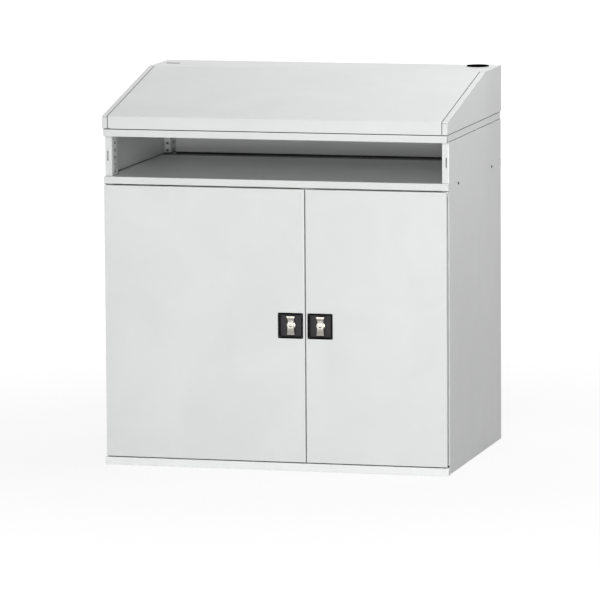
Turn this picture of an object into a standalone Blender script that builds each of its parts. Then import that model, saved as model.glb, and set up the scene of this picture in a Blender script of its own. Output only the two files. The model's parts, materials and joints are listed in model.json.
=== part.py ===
"""Sheet-steel standing desk: a two-door cabinet with an open compartment under a slanted writing hood.

Metres, +Z up, the doors face -Y, and the origin is on the floor under the middle of the desk.
"""
import math

import bmesh
import bpy
from mathutils import Matrix, Vector

# Overall sizes
WIDTH = 1.005            # over the doors, the base strip and the hood
DEPTH = 0.695            # from the lock plates to the back
SHEET = 0.00125          # steel sheet
GAP = 0.0003             # between pieces that touch
FOLD_R = 0.002           # outer radius of a fold

# Heights of the front, from the floor up
BASE_H = 0.022
REVEAL = 0.003           # seam round each door
DOOR_H = 0.777
FLOOR_LIP_H = 0.0205
OPENING_H = 0.115        # open compartment
RAIL_H = 0.022
HOOD_SEAM = 0.0008
HOOD_LIP_H = 0.036
HOOD_RISE = 0.0977       # from the front fold to the flat top
GROMMET_PROUD = 0.003

# Depths and set-backs
DOOR_T = 0.020
DOOR_AIR = 0.004         # between the closed doors and the cabinet
FLOOR_LIP_SETBACK = 0.010
FLOOR_LIP_INSET = 0.001
RAIL_SETBACK = 0.003
RAIL_INSET = 0.003
FLAT_TOP_D = 0.2085
SIDE_INSET = 0.002       # side panels, in from the ends of the doors

# Posts and sheet returns
POST_W = 0.020
POST_D = 0.060
POST_SLOT_W = 0.003
POST_SLOT_H = 0.028
POST_SLOT_IN = 0.008     # slot centre from the panel's outer face
RETURN_W = 0.016         # return behind a door's or tray's edge
HOLE_W = 0.004
HOLE_H = 0.008
HOLE_PITCH = 0.050
HOLE_FIRST = 0.080       # lowest hole above the base
HOLE_LAST = 0.050        # free under the compartment floor
PAIR_PITCH = 0.017       # two holes beside the open compartment

# Doors
LEFT_DOOR_W = 0.5902
STIFFENER_W = 0.060
STIFFENER_FOOT = 0.012
BUFFER_R = 0.005
BUFFER_Z = 0.180         # below the door's top
BUFFER_FROM_EDGE = 0.008

# Hinges
HINGE_IN = 0.006         # axis from the door's outer edge
HINGE_FROM_REAR = 0.004  # axis from the door's rear face
PIN_R = 0.0025
PIN_CLEAR = 0.0001
BUSH_WALL = 0.001
BUSH_FLANGE = 0.001
PIN_DEPTH = 0.012        # into the door and into the base
PIN_REACH = 0.008        # past the bush
COLLAR = 0.001           # collar, past the pin

# Locks
LOCK_Z = 0.390           # lock axis above the door's bottom edge
PLATE_FROM_EDGE = 0.005  # lock plate from the door's free edge
PLATE_RIM = 0.003        # lock plate past the wall of its recess
PLATE_PROUD = 0.002
CUP = 0.064              # recess
CUP_WALL = 0.0015
CUP_CLEAR = 0.0005
CUP_D = 0.0115
CASE = 0.044
CASE_ROOM = 0.001        # between the lock case and the door's return
HANDLE_ROOM = 0.005      # between the handle's ends and the recess
HANDLE_TOP_W = 0.026
HANDLE_NECK_W = 0.015
HANDLE_BODY_W = 0.020
HANDLE_WAIST_W = 0.018
HANDLE_FOOT_W = 0.023
HANDLE_HEAD_H = 0.0038   # straight edge of the flared head
HANDLE_NECK_Z = 0.014    # above the axis
HANDLE_BODY_H = 0.0162
HANDLE_WAIST_Z = 0.0149  # below the axis
HANDLE_T = 0.007
HUB_R = 0.0135
SPINDLE_R = 0.008
SPINDLE_CLEAR = 0.00015
PLUG_R = 0.005
PLUG_L = 0.009
KEYWAY_W = 0.0056
KEYWAY_H = 0.0016
KEYWAY_D = 0.004
CAM_W = 0.016
CAM_TIP = 0.006          # latched cam's tip from the middle of the partition
CAM_T = 0.0025
CAM_CLEAR = 0.001        # behind the partition's front flange
SQUARE = 0.008
CAM_SCREW_R = 0.0022
CAM_SCREW_L = 0.008
CAM_SCREW_HEAD_R = 0.0065
CAM_SCREW_HEAD_H = 0.003

# Partition and shelves
FLANGE_W = 0.040
REAR_FLANGE_W = 0.030
SHELF_LIP = 0.025
SHELF_SETBACK = 0.018
SHELF_END = 0.0015
SHELF_REAR = 0.012
LEFT_SHELF_Z = 0.380     # pegs above the base, at the nearest row of holes
RIGHT_SHELF_Z = 0.480
CLIP_W = 0.014
CLIP_H = 0.022
CLIP_T = 0.002
CLIP_LEDGE = 0.014

# Hood
CHEEK_FLANGE = 0.0155
SEAM_W = 0.0012          # between a cheek's flange and the writing sheet
LEDGE_W = 0.010          # joggled under the sheet
RELIEF = 0.0012          # slit between the two flanges at the fold
REAR_TURN = 0.025        # sheet turned down at the back
GROMMET_HOLE_R = 0.030
GROMMET_FLANGE = 0.002   # ring past its hole
GROMMET_SLEEVE = 0.014
GROMMET_WALL = 0.0047
COVER_LEDGE = 0.0035     # cover past the ring's bore
COVER_T = 0.0022
COVER_CLEAR = 0.0003
NOTCH_W = 0.018
NOTCH_D = 0.014
GROMMET_FROM_SIDE = 0.060
GROMMET_FROM_BACK = 0.042
SLOT_W = 0.040
SLOT_D = 0.014
SLOT_FROM_SIDE = 0.044
SLOT_FROM_BACK = 0.100
CUTOUT_W = 0.110
CUTOUT_D = 0.050         # cable cut-out, about the grommet and open to the rear

# Floor screws
SCREW_R = 0.0025
SCREW_HEAD_R = 0.0045
SCREW_HEAD_H = 0.0016
SCREW_L = 0.010
SCREW_CLEAR = 0.0003
SCREW_FRONT = 0.116      # behind the cabinet's front
SCREW_REAR = 0.061       # before the rear of the compartment floor

ROUND = 16               # sides of pins and screws
LARGE_ROUND = 32         # sides of the grommet, spindle and hub
OVER = 0.002             # how far a cutter runs past what it cuts
AXIS_MARK = 0.03         # size of the marks on the joint axes

# Places worked out from the sizes above
BACK = DEPTH / 2
FRONT = PLATE_PROUD - DEPTH / 2
RIGHT = WIDTH / 2
CABINET_FRONT = FRONT + DOOR_T + DOOR_AIR
REAR_IN = BACK - SHEET - GAP
SIDE_X = RIGHT - SIDE_INSET
POST_X = SIDE_X - POST_W
DOOR_Z0 = BASE_H + REVEAL
DOOR_Z1 = DOOR_Z0 + DOOR_H
FLOOR_Z0 = DOOR_Z1 + REVEAL
FLOOR_Z1 = FLOOR_Z0 + FLOOR_LIP_H
RAIL_Z0 = FLOOR_Z1 + OPENING_H
RAIL_Z1 = RAIL_Z0 + RAIL_H
HOOD_Z0 = RAIL_Z1 + HOOD_SEAM
FOLD_Z = HOOD_Z0 + HOOD_LIP_H
TOP_Z = FOLD_Z + HOOD_RISE
FLAT_Y = BACK - FLAT_TOP_D
GAP_X = -RIGHT + LEFT_DOOR_W + REVEAL / 2
FLOOR_BACK = REAR_IN - POST_D - GAP
HINGE_Y = FRONT + DOOR_T - HINGE_FROM_REAR
LOCK_AXIS_Z = DOOR_Z0 + LOCK_Z
BUSH_R = PIN_R + PIN_CLEAR + BUSH_WALL
COLLAR_R = PIN_R + COLLAR
WASHER_T = (REVEAL - 3 * GAP) / 2  # bush flange and pin collar share the seam under a door
PLATE = CUP + 2 * (CUP_WALL + PLATE_RIM)
LOCK_FROM_GAP = REVEAL / 2 + PLATE_FROM_EDGE + PLATE / 2
HANDLE_H = CUP - 2 * HANDLE_ROOM
CAM_L = LOCK_FROM_GAP - CAM_TIP
CAM_Y0 = CABINET_FRONT + SHEET + CAM_CLEAR
CAM_Y1 = CAM_Y0 + CAM_T
FRONT_HOLE_Y = CABINET_FRONT + POST_D / 2
REAR_HOLE_Y = REAR_IN - POST_D / 2
GROMMET_R = GROMMET_HOLE_R + GROMMET_FLANGE
GROMMET_BORE_R = GROMMET_HOLE_R - GAP - GROMMET_WALL
COVER_R = GROMMET_BORE_R + COVER_LEDGE


def shade(name, colour, roughness, metallic=0.0):
    """A plain Principled material."""
    material = bpy.data.materials.new(name)
    material.use_nodes = True
    shader = material.node_tree.nodes["Principled BSDF"]
    shader.inputs["Base Color"].default_value = (*colour, 1.0)
    shader.inputs["Roughness"].default_value = roughness
    shader.inputs["Metallic"].default_value = metallic
    material.diffuse_color = (*colour, 1.0)
    return material


def block(low, high):
    """A box between two corners."""
    bm = bmesh.new()
    low, high = Vector(low), Vector(high)
    bmesh.ops.create_cube(bm, size=1.0)
    bmesh.ops.scale(bm, vec=high - low, verts=bm.verts)
    bmesh.ops.translate(bm, vec=(low + high) / 2, verts=bm.verts)
    return bm


def folded_block(low, high, radius=FOLD_R):
    """A box with its edges rounded as folded sheet is."""
    bm = block(low, high)
    bmesh.ops.bevel(bm, geom=bm.edges, offset=radius, segments=2, profile=0.5, affect="EDGES")
    return bm


def prism(outline, axis, start, end):
    """An outline pushed along an axis: (y, z) along X, (x, z) along Y or (x, y) along Z."""
    place = {
        "X": lambda u, v: (start, u, v),
        "Y": lambda u, v: (u, start, v),
        "Z": lambda u, v: (u, v, start),
    }[axis]
    push = Vector([end - start if letter == axis else 0.0 for letter in "XYZ"])
    bm = bmesh.new()
    face = bm.faces.new([bm.verts.new(place(u, v)) for u, v in outline])
    pushed = bmesh.ops.extrude_face_region(bm, geom=[face])
    moved = [item for item in pushed["geom"] if isinstance(item, bmesh.types.BMVert)]
    bmesh.ops.translate(bm, vec=push, verts=moved)
    bmesh.ops.recalc_face_normals(bm, faces=bm.faces)
    return bm


def rod(radius, start, end, sides=ROUND):
    """A straight round bar between two points."""
    start, end = Vector(start), Vector(end)
    along = end - start
    turn = along.to_track_quat("Z", "Y").to_matrix().to_4x4()
    bm = bmesh.new()
    bmesh.ops.create_cone(
        bm, cap_ends=True, segments=sides, radius1=radius, radius2=radius, depth=along.length,
        matrix=Matrix.Translation((start + end) / 2) @ turn,
    )
    return bm


def turned(profile, centre, sides=LARGE_ROUND):
    """A closed (radius, z) outline turned about an upright axis."""
    bm = bmesh.new()
    verts = [bm.verts.new((radius, 0.0, z)) for radius, z in profile]
    edges = [bm.edges.new((a, b)) for a, b in zip(verts, verts[1:] + verts[:1])]
    bmesh.ops.spin(
        bm, geom=verts + edges, cent=(0, 0, 0), axis=(0, 0, 1), angle=2 * math.pi, steps=sides,
        use_merge=True,
    )
    bmesh.ops.recalc_face_normals(bm, faces=bm.faces)
    bmesh.ops.translate(bm, vec=centre, verts=bm.verts)
    return bm


def piece(name, bm, material):
    """An object made from a finished shape."""
    mesh = bpy.data.meshes.new(name)
    bm.to_mesh(mesh)
    bm.free()
    if material:
        mesh.materials.append(material)
    mesh.shade_smooth()
    mesh.set_sharp_from_angle(angle=math.radians(30))
    made = bpy.data.objects.new(name, mesh)
    bpy.context.scene.collection.objects.link(made)
    return made


def combine(target, shapes, operation):
    """Cut shapes out of an object, or join them to it."""
    helpers = [piece(f"{target.name}_{operation.lower()}", shape, None) for shape in shapes]
    for helper in helpers:
        boolean = target.modifiers.new(helper.name, "BOOLEAN")
        boolean.operation = operation
        boolean.solver = "EXACT"
        boolean.object = helper
    seen = target.evaluated_get(bpy.context.evaluated_depsgraph_get())
    plain = target.data
    target.data = bpy.data.meshes.new_from_object(seen)
    target.modifiers.clear()
    bpy.data.meshes.remove(plain)
    for helper in helpers:
        bpy.data.meshes.remove(helper.data)
    return target


def cut(target, *shapes):
    """Take shapes out of an object."""
    return combine(target, shapes, "DIFFERENCE")


def join(target, *shapes):
    """Add shapes to an object."""
    return combine(target, shapes, "UNION")


def pivot(name, place, carrier=None):
    """An empty on a joint's axis, carried by another joint's empty or by nothing."""
    empty = bpy.data.objects.new(name, None)
    empty.empty_display_size = AXIS_MARK
    empty.parent = carrier
    empty.location = Vector(place) - (carrier.location if carrier else Vector())
    bpy.context.scene.collection.objects.link(empty)
    return empty


def hang(empty, *pieces):
    """Carry pieces on a joint's empty, with their origins on its axis."""
    carrier = empty.parent
    place = empty.location + (carrier.location if carrier else Vector())
    for part in pieces:
        part.data.transform(Matrix.Translation(-place))
        part.parent = empty


def mirrored(outline):
    """The right half of an outline about X = 0, front to back, closed on the left."""
    return outline + [(-x, y) for x, y in reversed(outline)]


def steel_tray(name, outline, hollow, z0, z1, mouth, material):
    """A tray hanging down from its top sheet, with its underside open inside the mouth's corners."""
    made = piece(name, prism(outline, "Z", z0, z1), material)
    (x0, y0), (x1, y1) = mouth
    return cut(
        made,
        prism(hollow, "Z", z0 + SHEET, z1 - SHEET),
        block((x0, y0, z0 - OVER), (x1, y1, (z0 + z1) / 2)),
    )


def base_tray(grey):
    """Cupboard floor with the strip under the doors, resting on its turned-in edges."""
    inner = POST_X - GAP
    nose_back = CABINET_FRONT - GAP
    outline = mirrored([(RIGHT, FRONT), (RIGHT, nose_back), (inner, nose_back), (inner, REAR_IN)])
    hollow = mirrored([
        (RIGHT - SHEET, FRONT + SHEET), (RIGHT - SHEET, nose_back - SHEET),
        (inner - SHEET, nose_back - SHEET), (inner - SHEET, REAR_IN - SHEET),
    ])
    reach = inner - SHEET - RETURN_W
    mouth = ((-reach, CABINET_FRONT + RETURN_W), (reach, REAR_IN - SHEET - RETURN_W))
    tray = steel_tray("base_tray", outline, hollow, 0.0, BASE_H, mouth, grey)
    holes = [
        rod(PIN_R + GAP, (x, HINGE_Y, BASE_H - 2 * SHEET), (x, HINGE_Y, BASE_H + OVER))
        for x in (HINGE_IN - RIGHT, RIGHT - HINGE_IN)
    ]
    return cut(tray, *holes)


def floor_tray(grey):
    """Floor of the open compartment, notched round the front uprights, with a cable gap behind it."""
    wide = SIDE_X - SHEET - GAP
    narrow = POST_X - GAP
    nose = RIGHT - FLOOR_LIP_INSET
    lip = FRONT + FLOOR_LIP_SETBACK
    nose_back = CABINET_FRONT - GAP
    post_back = CABINET_FRONT + POST_D + GAP
    outline = mirrored([
        (nose, lip), (nose, nose_back), (narrow, nose_back),
        (narrow, post_back), (wide, post_back), (wide, FLOOR_BACK),
    ])
    hollow = mirrored([
        (nose - SHEET, lip + SHEET), (nose - SHEET, nose_back - SHEET),
        (narrow - SHEET, nose_back - SHEET), (narrow - SHEET, post_back + SHEET),
        (wide - SHEET, post_back + SHEET), (wide - SHEET, FLOOR_BACK - SHEET),
    ])
    reach = narrow - SHEET - RETURN_W
    mouth = ((-reach, nose_back), (reach, FLOOR_BACK - SHEET))
    tray = steel_tray("compartment_floor", outline, hollow, FLOOR_Z0, FLOOR_Z1, mouth, grey)
    holes = [
        rod(BUSH_R + GAP, (x, HINGE_Y, FLOOR_Z0 - OVER), (x, HINGE_Y, FLOOR_Z0 + 2 * SHEET))
        for x in (HINGE_IN - RIGHT, RIGHT - HINGE_IN)
    ]
    threads = [
        rod(SCREW_R + GAP, (side * (wide - 2 * SHEET), y, screw_z()), (side * (wide + OVER), y, screw_z()))
        for side in (-1, 1) for y in screw_rows()
    ]
    return cut(tray, *holes, *threads)


def top_tray(grey):
    """Folded frame at the top of the cabinet, whose front is the rail over the compartment, and its sheet."""
    side, lip, rear = RIGHT - RAIL_INSET, FRONT + RAIL_SETBACK, REAR_IN - POST_W
    tray = piece("top_tray", folded_block((-side, lip, RAIL_Z0), (side, BACK, RAIL_Z1)), grey)
    hollow = block((SHEET - side, lip + SHEET, RAIL_Z0 + SHEET), (side - SHEET, BACK - SHEET, RAIL_Z1 - SHEET))
    middle = block((-POST_X, CABINET_FRONT, RAIL_Z0 - OVER), (POST_X, rear, RAIL_Z1 + OVER))
    cut(tray, hollow, middle)
    low = (GAP - POST_X, CABINET_FRONT + GAP, RAIL_Z1 - SHEET)
    sheet = piece("top_sheet", block(low, (POST_X - GAP, rear - GAP, RAIL_Z1)), grey)
    x, y, _ = grommet_place()
    cut(sheet, block(
        (x - CUTOUT_W, y - CUTOUT_D / 2, RAIL_Z1 - 2 * SHEET), (x, rear + OVER, RAIL_Z1 + OVER)
    ))


def screw_z():
    """Height of the screws that hold the compartment floor."""
    return (FLOOR_Z0 + FLOOR_Z1) / 2


def screw_rows():
    """Depths of the front and rear floor screws."""
    return (CABINET_FRONT + SCREW_FRONT, FLOOR_BACK - SCREW_REAR)


def side_panel(name, side, grey):
    """Side sheet folded in all round; its front fold is the post, with an upright slot."""
    top = RAIL_Z0 - GAP
    inner, outer = side * POST_X, side * SIDE_X
    low_x, high_x = min(inner, outer), max(inner, outer)
    panel = piece(name, folded_block((low_x, CABINET_FRONT, 0), (high_x, REAR_IN, top)), grey)
    skin = outer - side * SHEET
    past = inner - side * OVER
    hollow = block(
        (min(past, skin), CABINET_FRONT + SHEET, SHEET), (max(past, skin), REAR_IN - SHEET, top - SHEET)
    )
    holes = [
        rod(SCREW_R + SCREW_CLEAR, (outer - side * 2 * SHEET, y, screw_z()), (outer + side * OVER, y, screw_z()))
        for y in screw_rows()
    ]
    return cut(panel, hollow, post_slot(side), *holes)


def post_slot(side):
    """Cutter for the slot through a front post and the channel in it, beside the open compartment."""
    x = side * (SIDE_X - POST_SLOT_IN)
    z = (FLOOR_Z1 + RAIL_Z0) / 2
    return block(
        (x - POST_SLOT_W / 2, CABINET_FRONT - OVER, z - POST_SLOT_H / 2),
        (x + POST_SLOT_W / 2, CABINET_FRONT + 3 * SHEET, z + POST_SLOT_H / 2),
    )


def hole_heights():
    """Heights of the shelf holes, as many rows as fit under the compartment floor."""
    first = BASE_H + HOLE_FIRST
    rows = int((FLOOR_Z0 - HOLE_LAST - first) / HOLE_PITCH) + 1
    return [first + row * HOLE_PITCH for row in range(rows)]


def web_holes(x, y, heights):
    """Cutters for a column of holes through an upright web."""
    return [
        block(
            (x - 2 * SHEET, y - HOLE_W / 2, z - HOLE_H / 2), (x + 2 * SHEET, y + HOLE_W / 2, z + HOLE_H / 2)
        )
        for z in heights
    ]


def upright(name, side, y0, y1, hole_y, grey):
    """Perforated channel inside a side panel's fold, open towards the panel."""
    z0, z1 = SHEET + GAP, RAIL_Z0 - SHEET - 2 * GAP
    web, edge = side * POST_X, side * (SIDE_X - SHEET - GAP)
    inside = web + side * SHEET
    outline = [
        (web, y0), (edge, y0), (edge, y0 + SHEET), (inside, y0 + SHEET),
        (inside, y1 - SHEET), (edge, y1 - SHEET), (edge, y1), (web, y1),
    ]
    channel = piece(name, prism(outline, "Z", z0, z1), grey)
    middle = (FLOOR_Z1 + RAIL_Z0) / 2
    pair = [middle - PAIR_PITCH / 2, middle + PAIR_PITCH / 2]
    return cut(channel, *web_holes(web, hole_y, hole_heights() + pair))


def back_panel(grey):
    """Flat sheet over the back of the cabinet."""
    return piece("back_panel", block((-SIDE_X, BACK - SHEET, 0), (SIDE_X, BACK, RAIL_Z0 - GAP)), grey)


def partition(grey):
    """Wall between the cupboards; its front flange is what both doors close on."""
    half, rear = SHEET / 2, REAR_IN - GAP
    right_half = [
        (FLANGE_W / 2, CABINET_FRONT), (FLANGE_W / 2, CABINET_FRONT + SHEET), (half, CABINET_FRONT + SHEET),
        (half, rear - SHEET), (REAR_FLANGE_W / 2, rear - SHEET), (REAR_FLANGE_W / 2, rear),
    ]
    outline = [(GAP_X + x, y) for x, y in mirrored(right_half)]
    wall = piece("partition", prism(outline, "Z", BASE_H + GAP, FLOOR_Z1 - SHEET - GAP), grey)
    notch = block(
        (GAP_X - FLANGE_W, FLOOR_BACK - SHEET - GAP, FLOOR_Z0 - GAP),
        (GAP_X + FLANGE_W, FLOOR_BACK + GAP, FLOOR_Z1),
    )
    holes = web_holes(GAP_X, FRONT_HOLE_Y, hole_heights()) + web_holes(GAP_X, REAR_HOLE_Y, hole_heights())
    return cut(wall, notch, *holes)


def shelf_with_clips(name, left, right, height, grey, zinc):
    """An adjustable shelf between two walls, on four clips hooked into the row of holes nearest a height."""
    peg_z = min(hole_heights(), key=lambda z: abs(z - BASE_H - height))
    ledge = peg_z + CLIP_H / 2
    z0 = ledge + GAP
    low = (left + SHELF_END, CABINET_FRONT + SHELF_SETBACK, z0)
    high = (right - SHELF_END, REAR_IN - SHELF_REAR, z0 + SHELF_LIP)
    shelf = piece(name, folded_block(low, high), grey)
    inside = Vector((SHEET, SHEET, SHEET))
    cut(shelf, block(Vector(low) + Vector((SHEET, SHEET, -OVER)), Vector(high) - inside))
    for end, y in (("front", FRONT_HOLE_Y), ("rear", REAR_HOLE_Y)):
        for edge, wall, inward in (("left", left, 1), ("right", right, -1)):
            shelf_clip(f"{name}_clip_{end}_{edge}", wall, inward, y, peg_z, zinc)


def shelf_clip(name, wall, inward, y, peg_z, zinc):
    """Angle clip: a plate on the wall, a ledge under the shelf and a peg in the wall's hole."""
    near = wall + inward * GAP
    far = near + inward * CLIP_T
    tip = near + inward * CLIP_LEDGE
    top, foot = peg_z + CLIP_H / 2, peg_z - CLIP_H / 2
    outline = [(near, foot), (far, foot), (far, top - CLIP_T), (tip, top - CLIP_T), (tip, top), (near, top)]
    clip = piece(name, prism(outline, "Y", y - CLIP_W / 2, y + CLIP_W / 2), zinc)
    end = wall - inward * SHEET / 3
    start = near + inward * CLIP_T / 2
    peg = block(
        (min(end, start), y - HOLE_W / 2 + GAP, peg_z - HOLE_H / 2 + GAP),
        (max(end, start), y + HOLE_W / 2 - GAP, peg_z + HOLE_H / 2 - GAP),
    )
    join(clip, peg)


def hood_profile(offset=0.0):
    """Corners of the hood's front, slant and flat top, moved in square to the sheet by an offset."""
    run, rise = FLAT_Y - FRONT, TOP_Z - FOLD_Z
    tilt = math.atan2(rise, run)
    at_fold = offset * math.tan((math.pi / 2 - tilt) / 2)
    at_top = offset * math.tan(tilt / 2)
    return [
        (FRONT + offset, HOOD_Z0), (FRONT + offset, FOLD_Z - at_fold),
        (FLAT_Y + at_top, TOP_Z - offset), (BACK - offset, TOP_Z - offset),
    ]


def slope_height(offset, y):
    """Height of the slant's line at an offset, at a depth."""
    _, fold, flat, _ = hood_profile(offset)
    return fold[1] + (flat[1] - fold[1]) * (y - fold[0]) / (flat[0] - fold[0])


def hood_sheet(grey):
    """Front lip, writing plate, flat top and turned-down rear edge bent from one sheet."""
    outer, inner = hood_profile(), hood_profile(SHEET)
    rear_z = TOP_Z - REAR_TURN
    outline = outer + [(BACK, rear_z), (BACK - SHEET, rear_z)] + inner[::-1]
    sheet = piece("hood_sheet", prism(outline, "X", -RIGHT, RIGHT), grey)
    seam = RIGHT - CHEEK_FLANGE - SEAM_W
    notches = [
        block((min(a, b), FRONT - OVER, HOOD_Z0 - OVER), (max(a, b), FLAT_Y + SEAM_W, TOP_Z + OVER))
        for a, b in ((seam, RIGHT + OVER), (-RIGHT - OVER, -seam))
    ]
    x, y, _ = grommet_place()
    grommet = rod(GROMMET_HOLE_R, (x, y, TOP_Z - 2 * SHEET), (x, y, TOP_Z + OVER), LARGE_ROUND)
    slot_x, slot_y = SLOT_FROM_SIDE - RIGHT, BACK - SLOT_FROM_BACK
    slot = block(
        (slot_x - SLOT_W / 2, slot_y - SLOT_D / 2, TOP_Z - 2 * SHEET),
        (slot_x + SLOT_W / 2, slot_y + SLOT_D / 2, TOP_Z + OVER),
    )
    return cut(sheet, *notches, grommet, slot)


def hood_cheek(name, side, grey):
    """Hood side: a web with a foot, and flanges along the front and the slant joggled under the sheet."""
    def along(near, far, outline):
        return prism(outline, "X", *sorted((side * near, side * far)))

    under = SHEET + GAP
    deep = under + SHEET
    seam = RIGHT - CHEEK_FLANGE
    inner, skin = seam - LEDGE_W, RIGHT - SHEET
    past = inner - OVER
    above, behind, below = TOP_Z + OVER, BACK + OVER, HOOD_Z0 - OVER
    front, fold, flat, _ = hood_profile()
    outline = [front, fold, flat, (FLAT_Y, TOP_Z - under), (REAR_IN, TOP_Z - under), (REAR_IN, HOOD_Z0)]
    cheek = piece(name, along(inner, RIGHT, outline), grey)
    end = FLAT_Y - SHEET
    foot = HOOD_Z0 + SHEET
    fold_deep, fold_under = hood_profile(deep)[1], hood_profile(under)[1]
    hollow = [
        (FRONT + deep, foot), fold_deep, (end, slope_height(deep, end)), (end, above), (behind, above),
        (behind, foot),
    ]
    joggle = [
        (FRONT + under, below), fold_under, (FLAT_Y, slope_height(under, FLAT_Y)), (FLAT_Y, above),
        (FRONT - OVER, above), (FRONT - OVER, below),
    ]
    slit_top = FOLD_Z - RELIEF
    slit = [
        (FRONT - OVER, slit_top - RELIEF), (FRONT - OVER, slit_top), (FRONT + SHEET, slit_top),
        (FRONT + SHEET, slit_top - RELIEF),
    ]
    rear = REAR_IN - SHEET - GAP
    rear_room = [(rear, below), (rear, above), (behind, above), (behind, below)]
    return cut(
        cheek, along(past, skin, hollow), along(past, seam, joggle), along(past, skin, slit),
        along(past, skin, rear_room),
    )


def hood_back(grey):
    """Sheet that closes the hood at the rear."""
    x, y = RIGHT - SHEET - GAP, REAR_IN
    return piece(
        "hood_back", block((-x, y - SHEET, HOOD_Z0), (x, y, TOP_Z - SHEET - GAP)), grey
    )


def grommet_place():
    """Middle of the cable outlet, on the flat top."""
    return Vector((RIGHT - GROMMET_FROM_SIDE, BACK - GROMMET_FROM_BACK, TOP_Z))


def grommet(black):
    """Cable outlet: a flanged ring in the flat top, and a turning cover with a cable notch."""
    top, seat = GROMMET_PROUD, GROMMET_PROUD - COVER_T - 2 * GAP
    recess = COVER_R + COVER_CLEAR
    sleeve = GROMMET_HOLE_R - GAP
    profile = [
        (GROMMET_R, GAP), (GROMMET_R, top - GAP), (GROMMET_R - 2 * GAP, top), (recess, top), (recess, seat),
        (GROMMET_BORE_R, seat), (GROMMET_BORE_R, -GROMMET_SLEEVE), (sleeve, -GROMMET_SLEEVE), (sleeve, GAP),
    ]
    piece("grommet_ring", turned(profile, grommet_place()), black)
    place = grommet_place()
    disc = rod(
        COVER_R, place + Vector((0, 0, seat + GAP)), place + Vector((0, 0, seat + GAP + COVER_T)), LARGE_ROUND
    )
    cover = piece("grommet_cover", disc, black)
    cut(cover, block(
        place + Vector((-NOTCH_W / 2, COVER_R - NOTCH_D, 0)),
        place + Vector((NOTCH_W / 2, COVER_R + OVER, GROMMET_PROUD + OVER)),
    ))
    hang(pivot("grommet_axis", place), cover)


def handle_outline(x, z):
    """Turn handle seen from the front: flared head, neck, round body and flared foot."""
    half, body = HANDLE_H / 2, HANDLE_BODY_H / 2
    levels = [
        (half, HANDLE_TOP_W), (half - HANDLE_HEAD_H, HANDLE_TOP_W), (HANDLE_NECK_Z, HANDLE_NECK_W),
        (body, HANDLE_BODY_W), (-body, HANDLE_BODY_W), (-HANDLE_WAIST_Z, HANDLE_WAIST_W),
        (-half, HANDLE_FOOT_W),
    ]
    right = [(x + width / 2, z + height) for height, width in levels]
    left = [(x - width / 2, z + height) for height, width in reversed(levels)]
    return right + left


def lock(name, x, door_axis, black, bright, zinc):
    """Lock plate with its case, turn handle, key plug and latch cam, which is upright when unlatched."""
    z = LOCK_AXIS_Z

    def square(size, y0, y1):
        return block((x - size / 2, y0, z - size / 2), (x + size / 2, y1, z + size / 2))

    def bar(radius, y0, y1, sides=LARGE_ROUND):
        return rod(radius, (x, y0, z), (x, y1, z), sides)

    cup_floor = FRONT + CUP_D
    cup_back = cup_floor + CUP_WALL
    case_back = CABINET_FRONT - SHEET
    bore = SPINDLE_R + SPINDLE_CLEAR
    plate = piece(f"{name}_lock_plate", square(PLATE, FRONT - PLATE_PROUD, FRONT - GAP), black)
    join(plate, square(CUP + 2 * CUP_WALL, FRONT - PLATE_PROUD / 2, cup_back))
    cut(plate, square(CUP, FRONT - PLATE_PROUD - OVER, cup_floor), bar(bore, FRONT, cup_back + OVER))
    case = piece(f"{name}_lock_case", square(CASE, cup_back + GAP, case_back), zinc)
    cut(case, bar(bore, FRONT, case_back + OVER))

    lever_y0 = FRONT - PLATE_PROUD + GAP
    lever_y1 = lever_y0 + HANDLE_T
    handle = piece(f"{name}_turn_handle", prism(handle_outline(x, z), "Y", lever_y0, lever_y1), bright)
    join(
        handle,
        bar(HUB_R, lever_y1 - SHEET, cup_floor - GAP),
        bar(SPINDLE_R, lever_y1, CAM_Y0 - GAP),
        square(SQUARE - 2 * GAP, CABINET_FRONT, CAM_Y1),
    )
    screw_bore = bar(CAM_SCREW_R + GAP, CAM_Y1 - CAM_SCREW_L - GAP, CAM_Y1 + OVER, ROUND)
    cut(handle, bar(PLUG_R + GAP, lever_y0 - OVER, lever_y0 + PLUG_L), screw_bore)
    plug = piece(f"{name}_key_plug", bar(PLUG_R, lever_y0, lever_y0 + PLUG_L - GAP), bright)
    cut(plug, block(
        (x - KEYWAY_W / 2, lever_y0 - OVER, z - KEYWAY_H / 2),
        (x + KEYWAY_W / 2, lever_y0 + KEYWAY_D, z + KEYWAY_H / 2),
    ))

    cam_outline = [(x - CAM_W / 2, z - CAM_W / 2), (x + CAM_W / 2, z - CAM_W / 2)]
    cam_outline += [(x + CAM_W / 2, z + CAM_L - CAM_W / 4), (x + CAM_W / 4, z + CAM_L)]
    cam_outline += [(x - CAM_W / 4, z + CAM_L), (x - CAM_W / 2, z + CAM_L - CAM_W / 4)]
    cam = piece(f"{name}_latch_cam", prism(cam_outline, "Y", CAM_Y0, CAM_Y1), zinc)
    cut(cam, square(SQUARE, CAM_Y0 - OVER, CAM_Y1 + OVER))
    head = rod(CAM_SCREW_HEAD_R, (x, CAM_Y1 + GAP, z), (x, CAM_Y1 + GAP + CAM_SCREW_HEAD_H, z), 6)
    screw = piece(f"{name}_cam_screw", head, zinc)
    join(screw, bar(CAM_SCREW_R, CAM_Y1 - CAM_SCREW_L, CAM_Y1 + CAM_SCREW_HEAD_H / 2, ROUND))

    axis = pivot(f"{name}_handle_axis", (x, lever_y0, z), door_axis)
    hang(axis, handle, plug, cam, screw)
    hang(door_axis, plate, case)


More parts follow.
